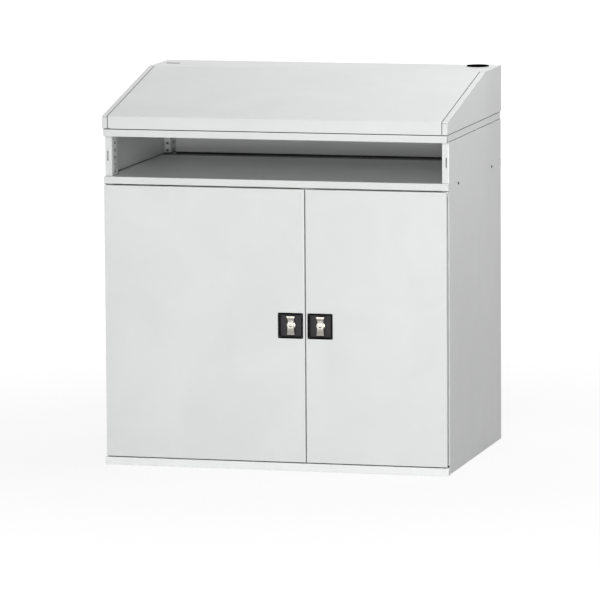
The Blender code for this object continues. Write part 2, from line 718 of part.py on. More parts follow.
def door(name, x0, x1, hinge_side, grey, black, zinc, rubber, bright):
    """A folded door pan with its stiffener, buffer, hinge pins and bushes, and lock."""
    y1 = FRONT + DOOR_T
    pan = piece(f"{name}_door", folded_block((x0, FRONT, DOOR_Z0), (x1, y1, DOOR_Z1)), grey)
    edge = SHEET + RETURN_W
    hinge_x = x1 - HINGE_IN if hinge_side > 0 else x0 + HINGE_IN
    free_x = x0 if hinge_side > 0 else x1
    lock_x = GAP_X + hinge_side * LOCK_FROM_GAP
    opening = (CUP + 2 * CUP_WALL) / 2 + CUP_CLEAR
    relief = HINGE_IN + COLLAR_R + 2 * SHEET
    pin_x0, pin_x1 = sorted((hinge_x - hinge_side * relief, hinge_x + hinge_side * (HINGE_IN - SHEET)))
    pin_rooms = [
        block(
            (pin_x0, HINGE_Y - COLLAR_R - SHEET, z - PIN_DEPTH - SHEET),
            (pin_x1, y1 + OVER, z + PIN_DEPTH + SHEET),
        )
        for z in (DOOR_Z0 + PIN_DEPTH + 2 * SHEET, DOOR_Z1 - PIN_DEPTH - 2 * SHEET)
    ]
    case = CASE / 2 + CASE_ROOM
    cut(
        pan,
        block((x0 + SHEET, FRONT + SHEET, DOOR_Z0 + SHEET), (x1 - SHEET, y1 - SHEET, DOOR_Z1 - SHEET)),
        block((x0 + edge, FRONT + SHEET, DOOR_Z0 + edge), (x1 - edge, y1 + OVER, DOOR_Z1 - edge)),
        block(
            (lock_x - opening, FRONT - OVER, LOCK_AXIS_Z - opening),
            (lock_x + opening, FRONT + 2 * SHEET, LOCK_AXIS_Z + opening),
        ),
        block(
            (lock_x - case, FRONT + 2 * SHEET, LOCK_AXIS_Z - case),
            (lock_x + case, y1 + OVER, LOCK_AXIS_Z + case),
        ),
        *pin_rooms,
        rod(BUSH_R + GAP, (hinge_x, HINGE_Y, DOOR_Z0 - OVER), (hinge_x, HINGE_Y, DOOR_Z0 + 2 * SHEET)),
        rod(PIN_R + GAP, (hinge_x, HINGE_Y, DOOR_Z1 - 2 * SHEET), (hinge_x, HINGE_Y, DOOR_Z1 + OVER)),
    )

    stiffener = door_stiffener(f"{name}_door_stiffener", (x0 + x1) / 2, grey)
    buffer_x = free_x + hinge_side * BUFFER_FROM_EDGE
    buffer_z = DOOR_Z1 - BUFFER_Z
    stop = rod(BUFFER_R, (buffer_x, y1 + GAP, buffer_z), (buffer_x, CABINET_FRONT - GAP, buffer_z))
    bumper = piece(f"{name}_door_buffer", stop, rubber)
    axis = pivot(f"{name}_hinge_axis", (hinge_x, HINGE_Y, DOOR_Z0))
    upper_pin, lower_bush = hinge(name, hinge_x, zinc, black)
    hang(axis, pan, stiffener, bumper, upper_pin, lower_bush)
    lock(name, lock_x, axis, black, bright, zinc)


def door_stiffener(name, x, grey):
    """Hat channel down the middle of a door, with its feet on the front sheet."""
    y0 = FRONT + SHEET + GAP
    y1 = FRONT + DOOR_T - 2 * SHEET
    half, crown = STIFFENER_W / 2, STIFFENER_W / 2 - STIFFENER_FOOT
    outline = [
        (x - half, y0), (x - crown + SHEET, y0), (x - crown + SHEET, y1 - SHEET), (x + crown - SHEET, y1 - SHEET),
        (x + crown - SHEET, y0), (x + half, y0), (x + half, y0 + SHEET), (x + crown, y0 + SHEET),
        (x + crown, y1), (x - crown, y1), (x - crown, y0 + SHEET), (x - half, y0 + SHEET),
    ]
    return piece(name, prism(outline, "Z", DOOR_Z0 + SHEET + GAP, DOOR_Z1 - SHEET - GAP), grey)


def hinge(name, x, zinc, black):
    """Upper pin on the door in a bush in the floor's lip; lower pin on the base in a bush in the door."""
    def bar(radius, z0, z1):
        return rod(radius, (x, HINGE_Y, z0), (x, HINGE_Y, z1))

    def bush(label, z0, z1, flange_z0, flange_z1):
        made = piece(label, bar(BUSH_R, z0, z1), black)
        join(made, bar(BUSH_R + BUSH_FLANGE, flange_z0, flange_z1))
        return cut(made, bar(PIN_R + PIN_CLEAR, z0 - REVEAL, z1 + REVEAL))

    sleeve = 3 * SHEET
    upper_pin = piece(f"{name}_upper_hinge_pin", bar(PIN_R, DOOR_Z1 - PIN_DEPTH, FLOOR_Z0 + PIN_REACH), zinc)
    under_lip = DOOR_Z1 - SHEET - GAP
    join(upper_pin, bar(COLLAR_R, under_lip - sleeve, under_lip))
    flange = FLOOR_Z0 - GAP
    bush(f"{name}_upper_hinge_bush", flange, FLOOR_Z0 + sleeve, flange - WASHER_T, flange)
    flange = DOOR_Z0 - GAP
    lower_bush = bush(f"{name}_lower_hinge_bush", flange, DOOR_Z0 + sleeve, flange - WASHER_T, flange)
    lower_pin = piece(f"{name}_lower_hinge_pin", bar(PIN_R, BASE_H - PIN_DEPTH, DOOR_Z0 + PIN_REACH), zinc)
    join(lower_pin, bar(COLLAR_R, BASE_H + GAP, flange - WASHER_T - GAP))
    return upper_pin, lower_bush


def floor_screw(name, side, y, zinc):
    """Round-headed screw through a side panel into the compartment floor."""
    z, face = screw_z(), side * (SIDE_X + GAP)
    head = rod(SCREW_HEAD_R, (face, y, z), (face + side * SCREW_HEAD_H, y, z))
    screw = piece(name, head, zinc)
    join(screw, rod(SCREW_R, (face - side * SCREW_L, y, z), (face + side * SCREW_HEAD_H / 2, y, z)))


def main():
    for old in list(bpy.data.objects):
        bpy.data.objects.remove(old)
    grey = shade("light_grey_powder_coat", (0.68, 0.70, 0.69), 0.45)
    black = shade("black_plastic", (0.02, 0.02, 0.022), 0.4)
    bright = shade("nickel_plate", (0.75, 0.73, 0.68), 0.25, 1.0)
    zinc = shade("zinc_plate", (0.55, 0.56, 0.57), 0.4, 1.0)
    rubber = shade("rubber", (0.03, 0.03, 0.03), 0.8)

    base_tray(grey)
    floor_tray(grey)
    top_tray(grey)
    back_panel(grey)
    partition(grey)
    posts = (
        ("front", CABINET_FRONT + SHEET + GAP, CABINET_FRONT + POST_D, FRONT_HOLE_Y),
        ("rear", REAR_IN - POST_D, REAR_IN - SHEET - GAP, REAR_HOLE_Y),
    )
    for hand, side in (("left", -1), ("right", 1)):
        side_panel(f"{hand}_side_panel", side, grey)
        hood_cheek(f"hood_{hand}_cheek", side, grey)
        for end, y0, y1, hole_y in posts:
            channel = upright(f"{end}_{hand}_upright", side, y0, y1, hole_y, grey)
            if end == "front":
                cut(channel, post_slot(side))
        for end, y in zip(("front", "rear"), screw_rows()):
            floor_screw(f"{hand}_floor_screw_{end}", side, y, zinc)
    hood_sheet(grey)
    hood_back(grey)
    grommet(black)

    wall = SHEET / 2
    shelf_with_clips("left_shelf", -POST_X, GAP_X - wall, LEFT_SHELF_Z, grey, zinc)
    shelf_with_clips("right_shelf", GAP_X + wall, POST_X, RIGHT_SHELF_Z, grey, zinc)
    door("left", -RIGHT, GAP_X - REVEAL / 2, -1, grey, black, zinc, rubber, bright)
    door("right", GAP_X + REVEAL / 2, RIGHT, 1, grey, black, zinc, rubber, bright)


main()
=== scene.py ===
"""Dresses a sheet-steel standing desk: folded panels, doors, hood, recessed locks, cable outlet, finishes.

Metres, +Z up, and the doors face -Y.
"""
import json
import math

import bmesh
import bpy
from bpy.props import FloatProperty, FloatVectorProperty, IntProperty, PointerProperty
from mathutils import Matrix, Vector

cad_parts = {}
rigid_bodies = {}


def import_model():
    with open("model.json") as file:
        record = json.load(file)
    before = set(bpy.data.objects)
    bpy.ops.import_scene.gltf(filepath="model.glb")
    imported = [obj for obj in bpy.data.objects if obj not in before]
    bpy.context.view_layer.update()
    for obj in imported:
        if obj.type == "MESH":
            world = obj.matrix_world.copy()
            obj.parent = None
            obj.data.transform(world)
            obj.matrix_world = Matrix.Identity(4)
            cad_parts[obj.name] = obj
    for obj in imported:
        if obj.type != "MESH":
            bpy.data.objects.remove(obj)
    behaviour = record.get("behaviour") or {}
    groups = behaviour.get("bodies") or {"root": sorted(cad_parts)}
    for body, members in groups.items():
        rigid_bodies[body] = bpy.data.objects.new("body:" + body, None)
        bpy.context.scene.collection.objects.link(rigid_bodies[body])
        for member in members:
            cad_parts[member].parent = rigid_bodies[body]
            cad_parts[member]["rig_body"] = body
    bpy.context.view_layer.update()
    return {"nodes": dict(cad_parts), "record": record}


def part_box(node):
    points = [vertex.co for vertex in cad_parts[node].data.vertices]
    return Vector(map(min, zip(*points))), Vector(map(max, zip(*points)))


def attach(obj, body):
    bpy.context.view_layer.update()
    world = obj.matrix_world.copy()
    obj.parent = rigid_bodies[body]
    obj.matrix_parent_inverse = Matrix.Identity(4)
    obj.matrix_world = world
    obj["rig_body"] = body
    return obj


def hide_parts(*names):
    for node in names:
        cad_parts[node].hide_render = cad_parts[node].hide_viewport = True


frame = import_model()

bl_info = {
    "name": "Standing desk",
    "version": (1, 0, 0),
    "blender": (4, 5, 0),
    "location": "View3D > Sidebar > Desk",
    "description": "Builds the folded sheets, locks, fittings and finishes of a workshop standing desk",
    "category": "Object",
}

LEFT = Vector((-1, 0, 0))
RIGHT = Vector((1, 0, 0))
FRONT = Vector((0, -1, 0))
BACK = Vector((0, 1, 0))
DOWN = Vector((0, 0, -1))
UP = Vector((0, 0, 1))
HANDS = (("left", -1), ("right", 1))
SLOTS = {part["node"]: part["material_slot"] for part in frame["record"]["subparts"]}
LEVEL = 0.9999           # how square to an axis a flat sheet is
CLEAR = 0.0003           # between pieces that touch
PAST = 0.002             # how far a cutter runs past what it cuts
MERGE = 1e-6
FLAT = math.radians(1)    # least bend between two faces of a plain solid
BEND = math.radians(5)    # least bend of a sheet
SHARP = math.radians(35)
CREASE = math.radians(60)
ROUND_SIDES = 48


# Sizes and colours a user would change

def length(label, note, default, **limits):
    """A length in metres."""
    return FloatProperty(name=label, description=note, default=default, precision=5, unit="LENGTH", **limits)


def lengths(label, note, *default):
    """Lengths that belong together."""
    return FloatVectorProperty(
        name=label, description=note, size=len(default), default=default, precision=5, unit="LENGTH")


def paint(label, note, *default):
    """The colour of a finish."""
    return FloatVectorProperty(
        name=label, description=note, default=default, subtype="COLOR", min=0.0, max=1.0)


def power(label, note, default):
    """The power of a lamp."""
    return FloatProperty(name=label, description=note, default=default, min=0.0, unit="POWER")


class SheetSizes(bpy.types.PropertyGroup):
    """Folded steel sheet of the cabinet"""
    thickness: length("Thickness", "Thickness of the steel sheet", 0.00125, min=0.0005)
    fold_radius: length("Fold radius", "Outer radius of a fold", 0.002, min=0.0013)
    fold_segments: IntProperty(name="Fold segments", description="Faces across a fold", default=4, min=2)
    edge_return: length("Edge return", "Sheet turned in behind the edge of a door or tray", 0.016)
    post_slot: lengths("Post slot", "Width and height of the slot in each front post", 0.003, 0.028)
    post_slot_in: length("Post slot from the side", "Middle of the slot from the panel's outer face", 0.008)
    hole: lengths("Shelf hole", "Width and height of a hole in the uprights", 0.004, 0.008)
    hole_pitch: length("Hole pitch", "Height between the shelf holes", 0.05)
    hole_first: length("Lowest hole", "Lowest shelf hole above the base tray", 0.08)
    hole_last: length("Free top", "Upright without holes under the compartment floor", 0.05)
    eye: lengths("Eye", "Width and height of the holes beside the compartment", 0.010, 0.0075)
    eye_height: length("Eye height", "Lowest of these holes above the compartment floor", 0.010)
    eye_pitch: length("Eye pitch", "Height between these holes", 0.0205)


class HoodSizes(bpy.types.PropertyGroup):
    """Slanted writing hood"""
    lip_height: length("Front lip", "Height of the upright front of the hood", 0.036)
    flat_depth: length("Flat top", "Depth of the flat strip behind the slant", 0.2085)
    bend_radius: length("Front bend", "Radius of the bend between the lip and the slant", 0.003)
    flange: length("Cheek flange", "Width of the flange along the front and the slant", 0.0155)
    seam: length("Seam", "Gap between a cheek's flange and the writing sheet", 0.0022)
    ledge: length("Ledge", "Strip of a cheek that the writing sheet lies on", 0.010)
    slit: length("Corner slit", "Slit between a cheek's two flanges at the fold", 0.0012)
    rear_turn: length("Rear turn", "Sheet turned down at the back", 0.025)
    slot: lengths("Cable slot", "Width and depth of the slot in the flat top", 0.040, 0.018)
    slot_from: lengths("Cable slot place", "Middle of the slot from the left and the back", 0.044, 0.102)
    hole_radius: length("Grommet hole", "Radius of the hole for the cable grommet", 0.030)
    cutout: lengths("Tray cut-out", "Width and depth of the cable cut-out under the hood", 0.110, 0.050)


class LockSizes(bpy.types.PropertyGroup):
    """Recessed turn-handle locks"""
    corner: length("Plate corner", "Corner radius of the lock plate", 0.0032)
    rim: length("Plate rim", "Width of the black rim round the recess", 0.0045)
    depth: length("Recess depth", "Depth of the recess behind the door's face", 0.0115)
    draft: length("Recess draft", "How far the recess narrows to its floor", 0.001)
    plate_ease: length("Plate edge", "Rounding of the plate's edges", 0.0005)
    handle_ease: length("Handle edge", "Rounding of the handle's edges", 0.0012)
    rosette: length("Rosette", "Radius of the round foot behind the handle", 0.0132)
    spindle: length("Spindle", "Radius of the spindle", 0.008)
    keyway: lengths("Keyway", "Width, depth and height of the keyway", 0.0056, 0.004, 0.0026)


class FinishColours(bpy.types.PropertyGroup):
    """Colours of the finishes"""
    powder: paint("Powder coat", "Light grey powder coat", 0.68, 0.69, 0.685)
    # the light coat is painted light: a lighter copy of the powder coat
    strip: paint("Light coat", "Coat of the base strip, front uprights and front folds", 0.80, 0.81, 0.805)
    # the seam colour is painted shade in seams, slots, gaps and joints
    seam: paint("Seam", "Unlit depth of seams and slots", 0.035, 0.035, 0.036)
    # the plate rim's black is also the painted shade in keyways and on the screw heads
    rim: paint("Plate rim", "Black rim of the lock plates", 0.005, 0.005, 0.0055)
    recess: paint("Plate recess", "Dark grey recess of the lock plates", 0.032, 0.030, 0.033)
    plastic: paint("Black plastic", "Grommet and hinge bushes", 0.002, 0.002, 0.0022)
    nickel: paint("Nickel", "Plated turn handles", 0.80, 0.77, 0.70)
    zinc: paint("Zinc", "Plated screws, clips and lock parts", 0.62, 0.63, 0.65)
    rubber: paint("Rubber", "Door buffers", 0.022, 0.022, 0.022)


class StageSettings(bpy.types.PropertyGroup):
    """Camera, floor and lamps"""
    camera_place: FloatVectorProperty(
        name="Camera place", description="Where the camera stands", default=(3.9703, -15.3503, 2.568),
        subtype="TRANSLATION", unit="LENGTH")
    camera_turn: FloatVectorProperty(
        name="Camera turn", description="Turn to the left, tilt down and roll of the camera",
        default=(math.radians(14.556), math.radians(7.639), math.radians(-0.387)), subtype="EULER",
        unit="ROTATION")
    lens: FloatProperty(name="Lens", description="Focal length in millimetres", default=333.07, min=10.0)
    floor_size: length("Floor", "Side of the floor", 160.0)
    floor_colour: paint("Floor colour", "Pale floor", 0.70, 0.70, 0.70)
    floor_white: FloatProperty(
        name="Floor white", description="Share of plain white in the floor seen beside the desk",
        default=0.80, min=0.0, max=1.0, subtype="FACTOR")
    floor_near: lengths("Floor fade", "Distances over which the floor fades to plain white", 1.0, 3.0)
    sky: FloatProperty(name="Room light", description="Even light from all round", default=0.22, min=0.0)
    key: power("Key lamp", "Wide lamp in front", 148.0)
    level: power("Level lamp", "Lamp that looks into the compartment", 24.0)
    low: power("Low lamp", "Lamp in front, near the floor", 132.0)
    top: power("Top lamp", "Lamp over the flat top", 39.0)
    side: power("Side lamp", "Small lamp above the right side", 8.5)


GROUPS = (
    ("desk_sheet", SheetSizes), ("desk_hood", HoodSizes), ("desk_lock", LockSizes),
    ("desk_colours", FinishColours), ("desk_stage", StageSettings),
)


# Shapes

def spread(one, other):
    """Least and greatest corner of the box between two corners in any order."""
    pairs = [sorted(pair) for pair in zip(one, other)]
    return Vector([low for low, _ in pairs]), Vector([high for _, high in pairs])


def new_shape():
    """An empty shape whose faces can be marked as folds, which take a painted highlight."""
    bm = bmesh.new()
    bm.faces.layers.float.new("fold")
    return bm


def box_shape(one, other):
    """A closed box between two corners."""
    low, high = spread(one, other)
    bm = new_shape()
    bmesh.ops.create_cube(bm, size=1.0)
    bmesh.ops.scale(bm, vec=high - low, verts=bm.verts[:])
    bmesh.ops.translate(bm, vec=(low + high) / 2, verts=bm.verts[:])
    return bm


def bar_shape(radius, start, end, sides=ROUND_SIDES):
    """A closed round bar between two points."""
    start, end = Vector(start), Vector(end)
    along = end - start
    turn = along.to_track_quat("Z", "Y").to_matrix().to_4x4()
    bm = new_shape()
    bmesh.ops.create_cone(
        bm, cap_ends=True, cap_tris=False, segments=sides, radius1=radius, radius2=radius,
        depth=along.length, matrix=Matrix.Translation((start + end) / 2) @ turn)
    return bm


def draw_out(bm, made, way):
    """Move what an extrusion made, and turn the faces outward."""
    moved = [item for item in made["geom"] if isinstance(item, bmesh.types.BMVert)]
    bmesh.ops.translate(bm, vec=way, verts=moved)
    bmesh.ops.recalc_face_normals(bm, faces=bm.faces[:])


def prism_shape(outline, low, high):
    """A closed (x, y) outline pushed up from a height to another."""
    bm = new_shape()
    face = bm.faces.new([bm.verts.new((x, y, low)) for x, y in outline])
    draw_out(bm, bmesh.ops.extrude_face_region(bm, geom=[face]), UP * (high - low))
    return bm


def ribbon_shape(points, way, outward):
    """A strip of sheet: a bent line pushed straight, whose first face looks outward."""
    bm = new_shape()
    verts = [bm.verts.new(point) for point in points]
    edges = [bm.edges.new(pair) for pair in zip(verts, verts[1:])]
    draw_out(bm, bmesh.ops.extrude_edge_only(bm, edges=edges), way)
    first = next(face for face in bm.faces if all(vert in face.verts for vert in verts[:2]))
    if first.normal.dot(outward) < 0:
        bmesh.ops.reverse_faces(bm, faces=bm.faces[:])
    return bm


def facing(bm, normal):
    """Flat faces that look along a direction."""
    bm.normal_update()
    return [face for face in bm.faces if face.normal.dot(normal) > LEVEL]


def bends(bm, least=BEND):
    """Edges where two faces meet at an angle."""
    bm.normal_update()
    return [edge for edge in bm.edges if len(edge.link_faces) == 2 and edge.calc_face_angle() > least]


def lies_at(edge, **place):
    """Whether both ends of an edge have the given coordinates."""
    return all(
        abs(getattr(vert.co, axis) - value) < MERGE for vert in edge.verts for axis, value in place.items())


def round_edges(bm, edges, radius, segments, fold=1.0):
    """Round edges, and mark the rounding as a fold of the sheet, with the strength of its painted highlight.
    """
    mark = bm.faces.layers.float["fold"]
    made = bmesh.ops.bevel(
        bm, geom=edges, offset=radius, affect="EDGES", segments=segments, profile=0.5, material=-1)
    for face in made["faces"]:
        face[mark] = fold


def divide(bm, faces, place, normal):
    """Draw a straight line across faces."""
    edges = {edge for face in faces for edge in face.edges}
    verts = {vert for face in faces for vert in face.verts}
    bmesh.ops.bisect_plane(
        bm, geom=[*faces, *edges, *verts], dist=MERGE, plane_co=place, plane_no=normal)


def pierce(bm, normal, one, other):
    """Open a rectangle in the flat sheet that looks along a direction and lies between two corners."""
    low, high = spread(one, other)
    across = [axis for axis in (RIGHT, BACK, UP) if not axis.dot(normal)]
    depth = next(axis for axis in (RIGHT, BACK, UP) if axis not in across)

    def sheet():
        return [
            face for face in facing(bm, normal)
            if low.dot(depth) - CLEAR < face.calc_center_median().dot(depth) < high.dot(depth) + CLEAR
        ]

    for axis in across:
        for corner in (low, high):
            divide(bm, sheet(), corner, axis)
    inside = [
        face for face in sheet()
        if all(low.dot(axis) < face.calc_center_median().dot(axis) < high.dot(axis) for axis in across)
    ]
    if not inside:
        raise RuntimeError(f"no sheet to open between {low[:]} and {high[:]}")
    bmesh.ops.delete(bm, geom=inside, context="FACES")


def thicken(bm, thickness):
    """Give a sheet its thickness, inwards from the face that is seen."""
    bmesh.ops.solidify(bm, geom=bm.faces[:], thickness=thickness)


def mesh_of(bm, name):
    """A mesh of a shape, which is used up."""
    mesh = bpy.data.meshes.new(name)
    bm.to_mesh(mesh)
    bm.free()
    return mesh


def add_object(name, data):
    """A new object in the scene."""
    made = bpy.data.objects.new(name, data)
    bpy.context.scene.collection.objects.link(made)
    return made


def combine(bm, operation, *shapes):
    """Cut closed shapes out of a closed shape, or join them to it."""
    target, *helpers = [add_object("shape", mesh_of(shape, "shape")) for shape in (bm, *shapes)]
    for helper in helpers:
        boolean = target.modifiers.new("combine", "BOOLEAN")
        boolean.operation = operation
        boolean.solver = "EXACT"
        boolean.object = helper
    seen = target.evaluated_get(bpy.context.evaluated_depsgraph_get())
    result = bmesh.new()
    result.from_mesh(seen.to_mesh())
    seen.to_mesh_clear()
    if not result.faces.layers.float.get("fold"):
        result.faces.layers.float.new("fold")
    for used in (target, *helpers):
        bpy.data.meshes.remove(used.data)
    return result


def shade(bm, one, other, finish=1):
    """Paint faces whose middle lies between two corners with the piece's second finish, its painted shade,
    or with a later one, such as the painted-light coat.
    """
    low, high = spread(one, other)
    for face in bm.faces:
        middle = face.calc_center_median()
        if all(start - MERGE < value < end + MERGE for start, value, end in zip(low, middle, high)):
            face.material_index = finish


def add_dark(bm, shape):
    """Join a shape to a piece, all of it in the piece's second finish: a dark sheet of painted shade."""
    for face in shape.faces:
        face.material_index = 1
    mesh = mesh_of(shape, "dark")
    bm.from_mesh(mesh)
    bpy.data.meshes.remove(mesh)


def dress(node, bm, *finishes, ease=0.0, also=()):
    """Turn a shape into the finished piece that stands for a node, or several, and moves with it."""
    mesh = mesh_of(bm, f"{node}_dressed")
    for finish in finishes:
        mesh.materials.append(finish)
    mesh.shade_smooth()
    mesh.set_sharp_from_angle(angle=SHARP)
    piece = add_object(mesh.name, mesh)
    if ease:
        bevel = piece.modifiers.new("Eased edges", "BEVEL")
        bevel.width = ease
        bevel.segments = 2
        bevel.limit_method = "ANGLE"
        bevel.angle_limit = SHARP
        bevel.harden_normals = True
    else:
        weighted = piece.modifiers.new("Flat sheets", "WEIGHTED_NORMAL")
        weighted.keep_sharp = True
    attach(piece, frame["nodes"][node]["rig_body"])
    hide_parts(node, *also)
    return piece


def plain_solid(node):
    """The plain solid of a node, its flat faces joined."""
    bm = new_shape()
    bm.from_mesh(frame["nodes"][node].data)
    bmesh.ops.remove_doubles(bm, verts=bm.verts[:], dist=MERGE)
    bmesh.ops.dissolve_limit(bm, angle_limit=FLAT, verts=bm.verts[:], edges=bm.edges[:])
    for face in bm.faces:
        face.material_index = 0
    return bm


# Places in the cabinet

def middle_of(node):
    """Middle of a node's box."""
    low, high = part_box(node)
    return (low + high) / 2


def both(pattern):
    """Left and right piece of a pair: hand, side, node and corners."""
    for hand, side in HANDS:
        node = pattern.format(hand)
        yield hand, side, node, *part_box(node)


def cabinet():
    """Corners of the room inside the right side panel: post, front, outer face and rear."""
    low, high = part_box("right_side_panel")
    return low.x, low.y, high.x, high.y


def hole_heights(sheet):
    """Heights of the shelf holes."""
    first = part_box("base_tray")[1].z + sheet.hole_first
    rows = int((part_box("compartment_floor")[0].z - sheet.hole_last - first) / sheet.hole_pitch) + 1
    return [first + row * sheet.hole_pitch for row in range(rows)]


def eye_heights(sheet):
    """Heights of the larger holes beside the compartment."""
    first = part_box("compartment_floor")[1].z + sheet.eye_height
    rows = int((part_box("top_tray")[0].z - first) / sheet.eye_pitch)
    return [first + row * sheet.eye_pitch for row in range(rows)]


def slot_corners(sheet, hand, side, node):
    """Corners of the post slot, as deep as the piece it is opened in."""
    panel_low, panel_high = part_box(f"{hand}_side_panel")
    wide, tall = sheet.post_slot
    x = (panel_high.x if side > 0 else panel_low.x) - side * sheet.post_slot_in
    z = (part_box("compartment_floor")[1].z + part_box("top_tray")[0].z) / 2
    low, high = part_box(node)
    return (x - wide / 2, low.y, z - tall / 2), (x + wide / 2, high.y, z + tall / 2)


def hood_profile(hood, offset=0.0):
    """Depth and height of the hood's corners, moved in square to the sheet by an offset."""
    low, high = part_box("hood_sheet")
    fold_z, flat_y = low.z + hood.lip_height, high.y - hood.flat_depth
    tilt = math.atan2(high.z - fold_z, flat_y - low.y)
    at_fold = offset * math.tan((math.pi / 2 - tilt) / 2)
    at_top = offset * math.tan(tilt / 2)
    return [
        (low.y + offset, low.z), (low.y + offset, fold_z - at_fold),
        (flat_y + at_top, high.z - offset), (high.y - offset, high.z - offset),
    ]


# Finishes

EVEN = (1.0, 1.0, 1.0)
NOISE_RANGE = (0.3, 0.7)      # where most of a noise lies
COAT_TONES = (0.965, 1.02)    # darkest and lightest share of the base colour
PLATED_TONES = (0.90, 1.04)
MOULDED_TONES = (0.85, 1.15)
# painted highlight: how much lighter the coat is where faces are marked as folds
FOLD_HIGHLIGHT = 1.06
COAT_ROUGHNESS = (0.31, 0.43)
COAT_GLOSS = 0.35
PEEL = (0.10, 0.0004)         # strength and depth of the orange peel
GRAIN_DEPTH = 0.0002


def feed(tree, node, inputs):
    """Set a node's inputs: another node's output is linked, and anything else is a plain value."""
    for name, value in inputs.items():
        if isinstance(value, bpy.types.NodeSocket):
            tree.links.new(value, node.inputs[name])
        else:
            node.inputs[name].default_value = value


def add(tree, kind, inputs=None, **settings):
    """A shader node with its settings and inputs."""
    node = tree.nodes.new(kind)
    for name, value in settings.items():
        setattr(node, name, value)
    feed(tree, node, inputs or {})
    return node


def new_group(name, inputs, outputs):
    """An empty shader group with named sockets: its tree, inputs, outlet and the object's coordinates."""
    tree = bpy.data.node_groups.new(name, "ShaderNodeTree")
    for label, kind, default in inputs:
        tree.interface.new_socket(name=label, in_out="INPUT", socket_type=kind).default_value = default
    for label in outputs:
        tree.interface.new_socket(name=label, in_out="OUTPUT", socket_type="NodeSocketFloat")
    inlet, outlet, place = (
        tree.nodes.new(kind) for kind in ("NodeGroupInput", "NodeGroupOutput", "ShaderNodeTexCoord"))
    return tree, inlet.outputs, outlet, place.outputs["Object"]


def noise(tree, place, **inputs):
    """A noise laid out by coordinates."""
    return add(tree, "ShaderNodeTexNoise", {"Vector": place, **inputs}).outputs["Fac"]


def coat_group():
    """Powder coat's surface: orange peel, slow clouds in the tone and fine specks."""
    tree = bpy.data.node_groups.get("coat_surface")
    if tree:
        return tree
    scales = [("Peel scale", "NodeSocketFloat", 420.0), ("Cloud scale", "NodeSocketFloat", 5.0)]
    tree, given, outlet, place = new_group("coat_surface", scales, ["Peel", "Cloud", "Speck"])
    feed(tree, outlet, {
        "Peel": noise(tree, place, Scale=given["Peel scale"], Detail=2.0, Roughness=0.45),
        "Cloud": noise(tree, place, Scale=given["Cloud scale"], Detail=4.0, Roughness=0.55, Distortion=0.6),
        "Speck": noise(tree, place, Scale=2600.0, Detail=1.0),
    })
    return tree


def grain_group():
    """Fine grain of a casting, plating or moulding, with slow streaks along one direction."""
    tree = bpy.data.node_groups.get("metal_grain")
    if tree:
        return tree
    scales = [("Grain scale", "NodeSocketFloat", 1500.0), ("Stretch", "NodeSocketVector", EVEN)]
    tree, given, outlet, place = new_group("metal_grain", scales, ["Grain", "Tone"])
    drawn = add(tree, "ShaderNodeVectorMath", {0: place, 1: given["Stretch"]}, operation="MULTIPLY")
    feed(tree, outlet, {
        "Grain": noise(tree, drawn.outputs["Vector"], Scale=given["Grain scale"], Detail=3.0, Roughness=0.6),
        "Tone": noise(tree, place, Scale=90.0, Detail=3.0, Roughness=0.5),
    })
    return tree


def blank_finish(name):
    """A new material and its Principled shader."""
    material = bpy.data.materials.new(name)
    material.use_nodes = True
    return material, material.node_tree, material.node_tree.nodes["Principled BSDF"]


def mixed(tree, share, one, other):
    """A colour between two others."""
    mix = add(tree, "ShaderNodeMix", {"Factor": share, "A": one, "B": other}, data_type="RGBA")
    return mix.outputs["Result"]


def tinted(tree, mask, base, tones):
    """A colour that runs from a darker tone of its base to a lighter one with a mask."""
    dark, light = ((*(base * tone), 1.0) for tone in tones)
    return mixed(tree, ranged(tree, mask, 0.0, 1.0), dark, light)


def marked(tree, attribute, tone, colour):
    """A colour that takes the place of a tone where the mesh is marked."""
    mark = add(tree, "ShaderNodeAttribute", attribute_name=attribute)
    return mixed(tree, mark.outputs["Fac"], tone, (*colour, 1.0))


def ranged(tree, mask, low, high, limits=NOISE_RANGE):
    """A value that runs from low to high while a mask runs between its limits."""
    start, end = limits
    node = add(tree, "ShaderNodeMapRange", {
        "Value": mask, "From Min": start, "From Max": end, "To Min": low, "To Max": high})
    return node.outputs["Result"]


def bumped(tree, height, strength, distance):
    """Normals of a surface with relief."""
    bump = add(tree, "ShaderNodeBump", {"Height": height, "Strength": strength, "Distance": distance})
    return bump.outputs["Normal"]


def powder_finish(colours, name="powder_coat", colour=None):
    """Satin light-grey powder coat with a fine orange peel and a painted highlight on the folds; under other
    names and colours it also makes the painted-shade and painted-light coats.
    """
    found = bpy.data.materials.get(name)
    if found:
        return found
    material, tree, shader = blank_finish(name)
    base = Vector(colour or colours.powder)
    coat = add(tree, "ShaderNodeGroup", node_tree=coat_group()).outputs
    feed(tree, shader, {
        # painted highlight on the faces marked as folds
        "Base Color": marked(tree, "fold", tinted(tree, coat["Cloud"], base, COAT_TONES), base * FOLD_HIGHLIGHT),
        "Roughness": ranged(tree, coat["Speck"], *COAT_ROUGHNESS),
        "Specular IOR Level": COAT_GLOSS,
        "Normal": bumped(tree, coat["Peel"], *PEEL),
    })
    return material


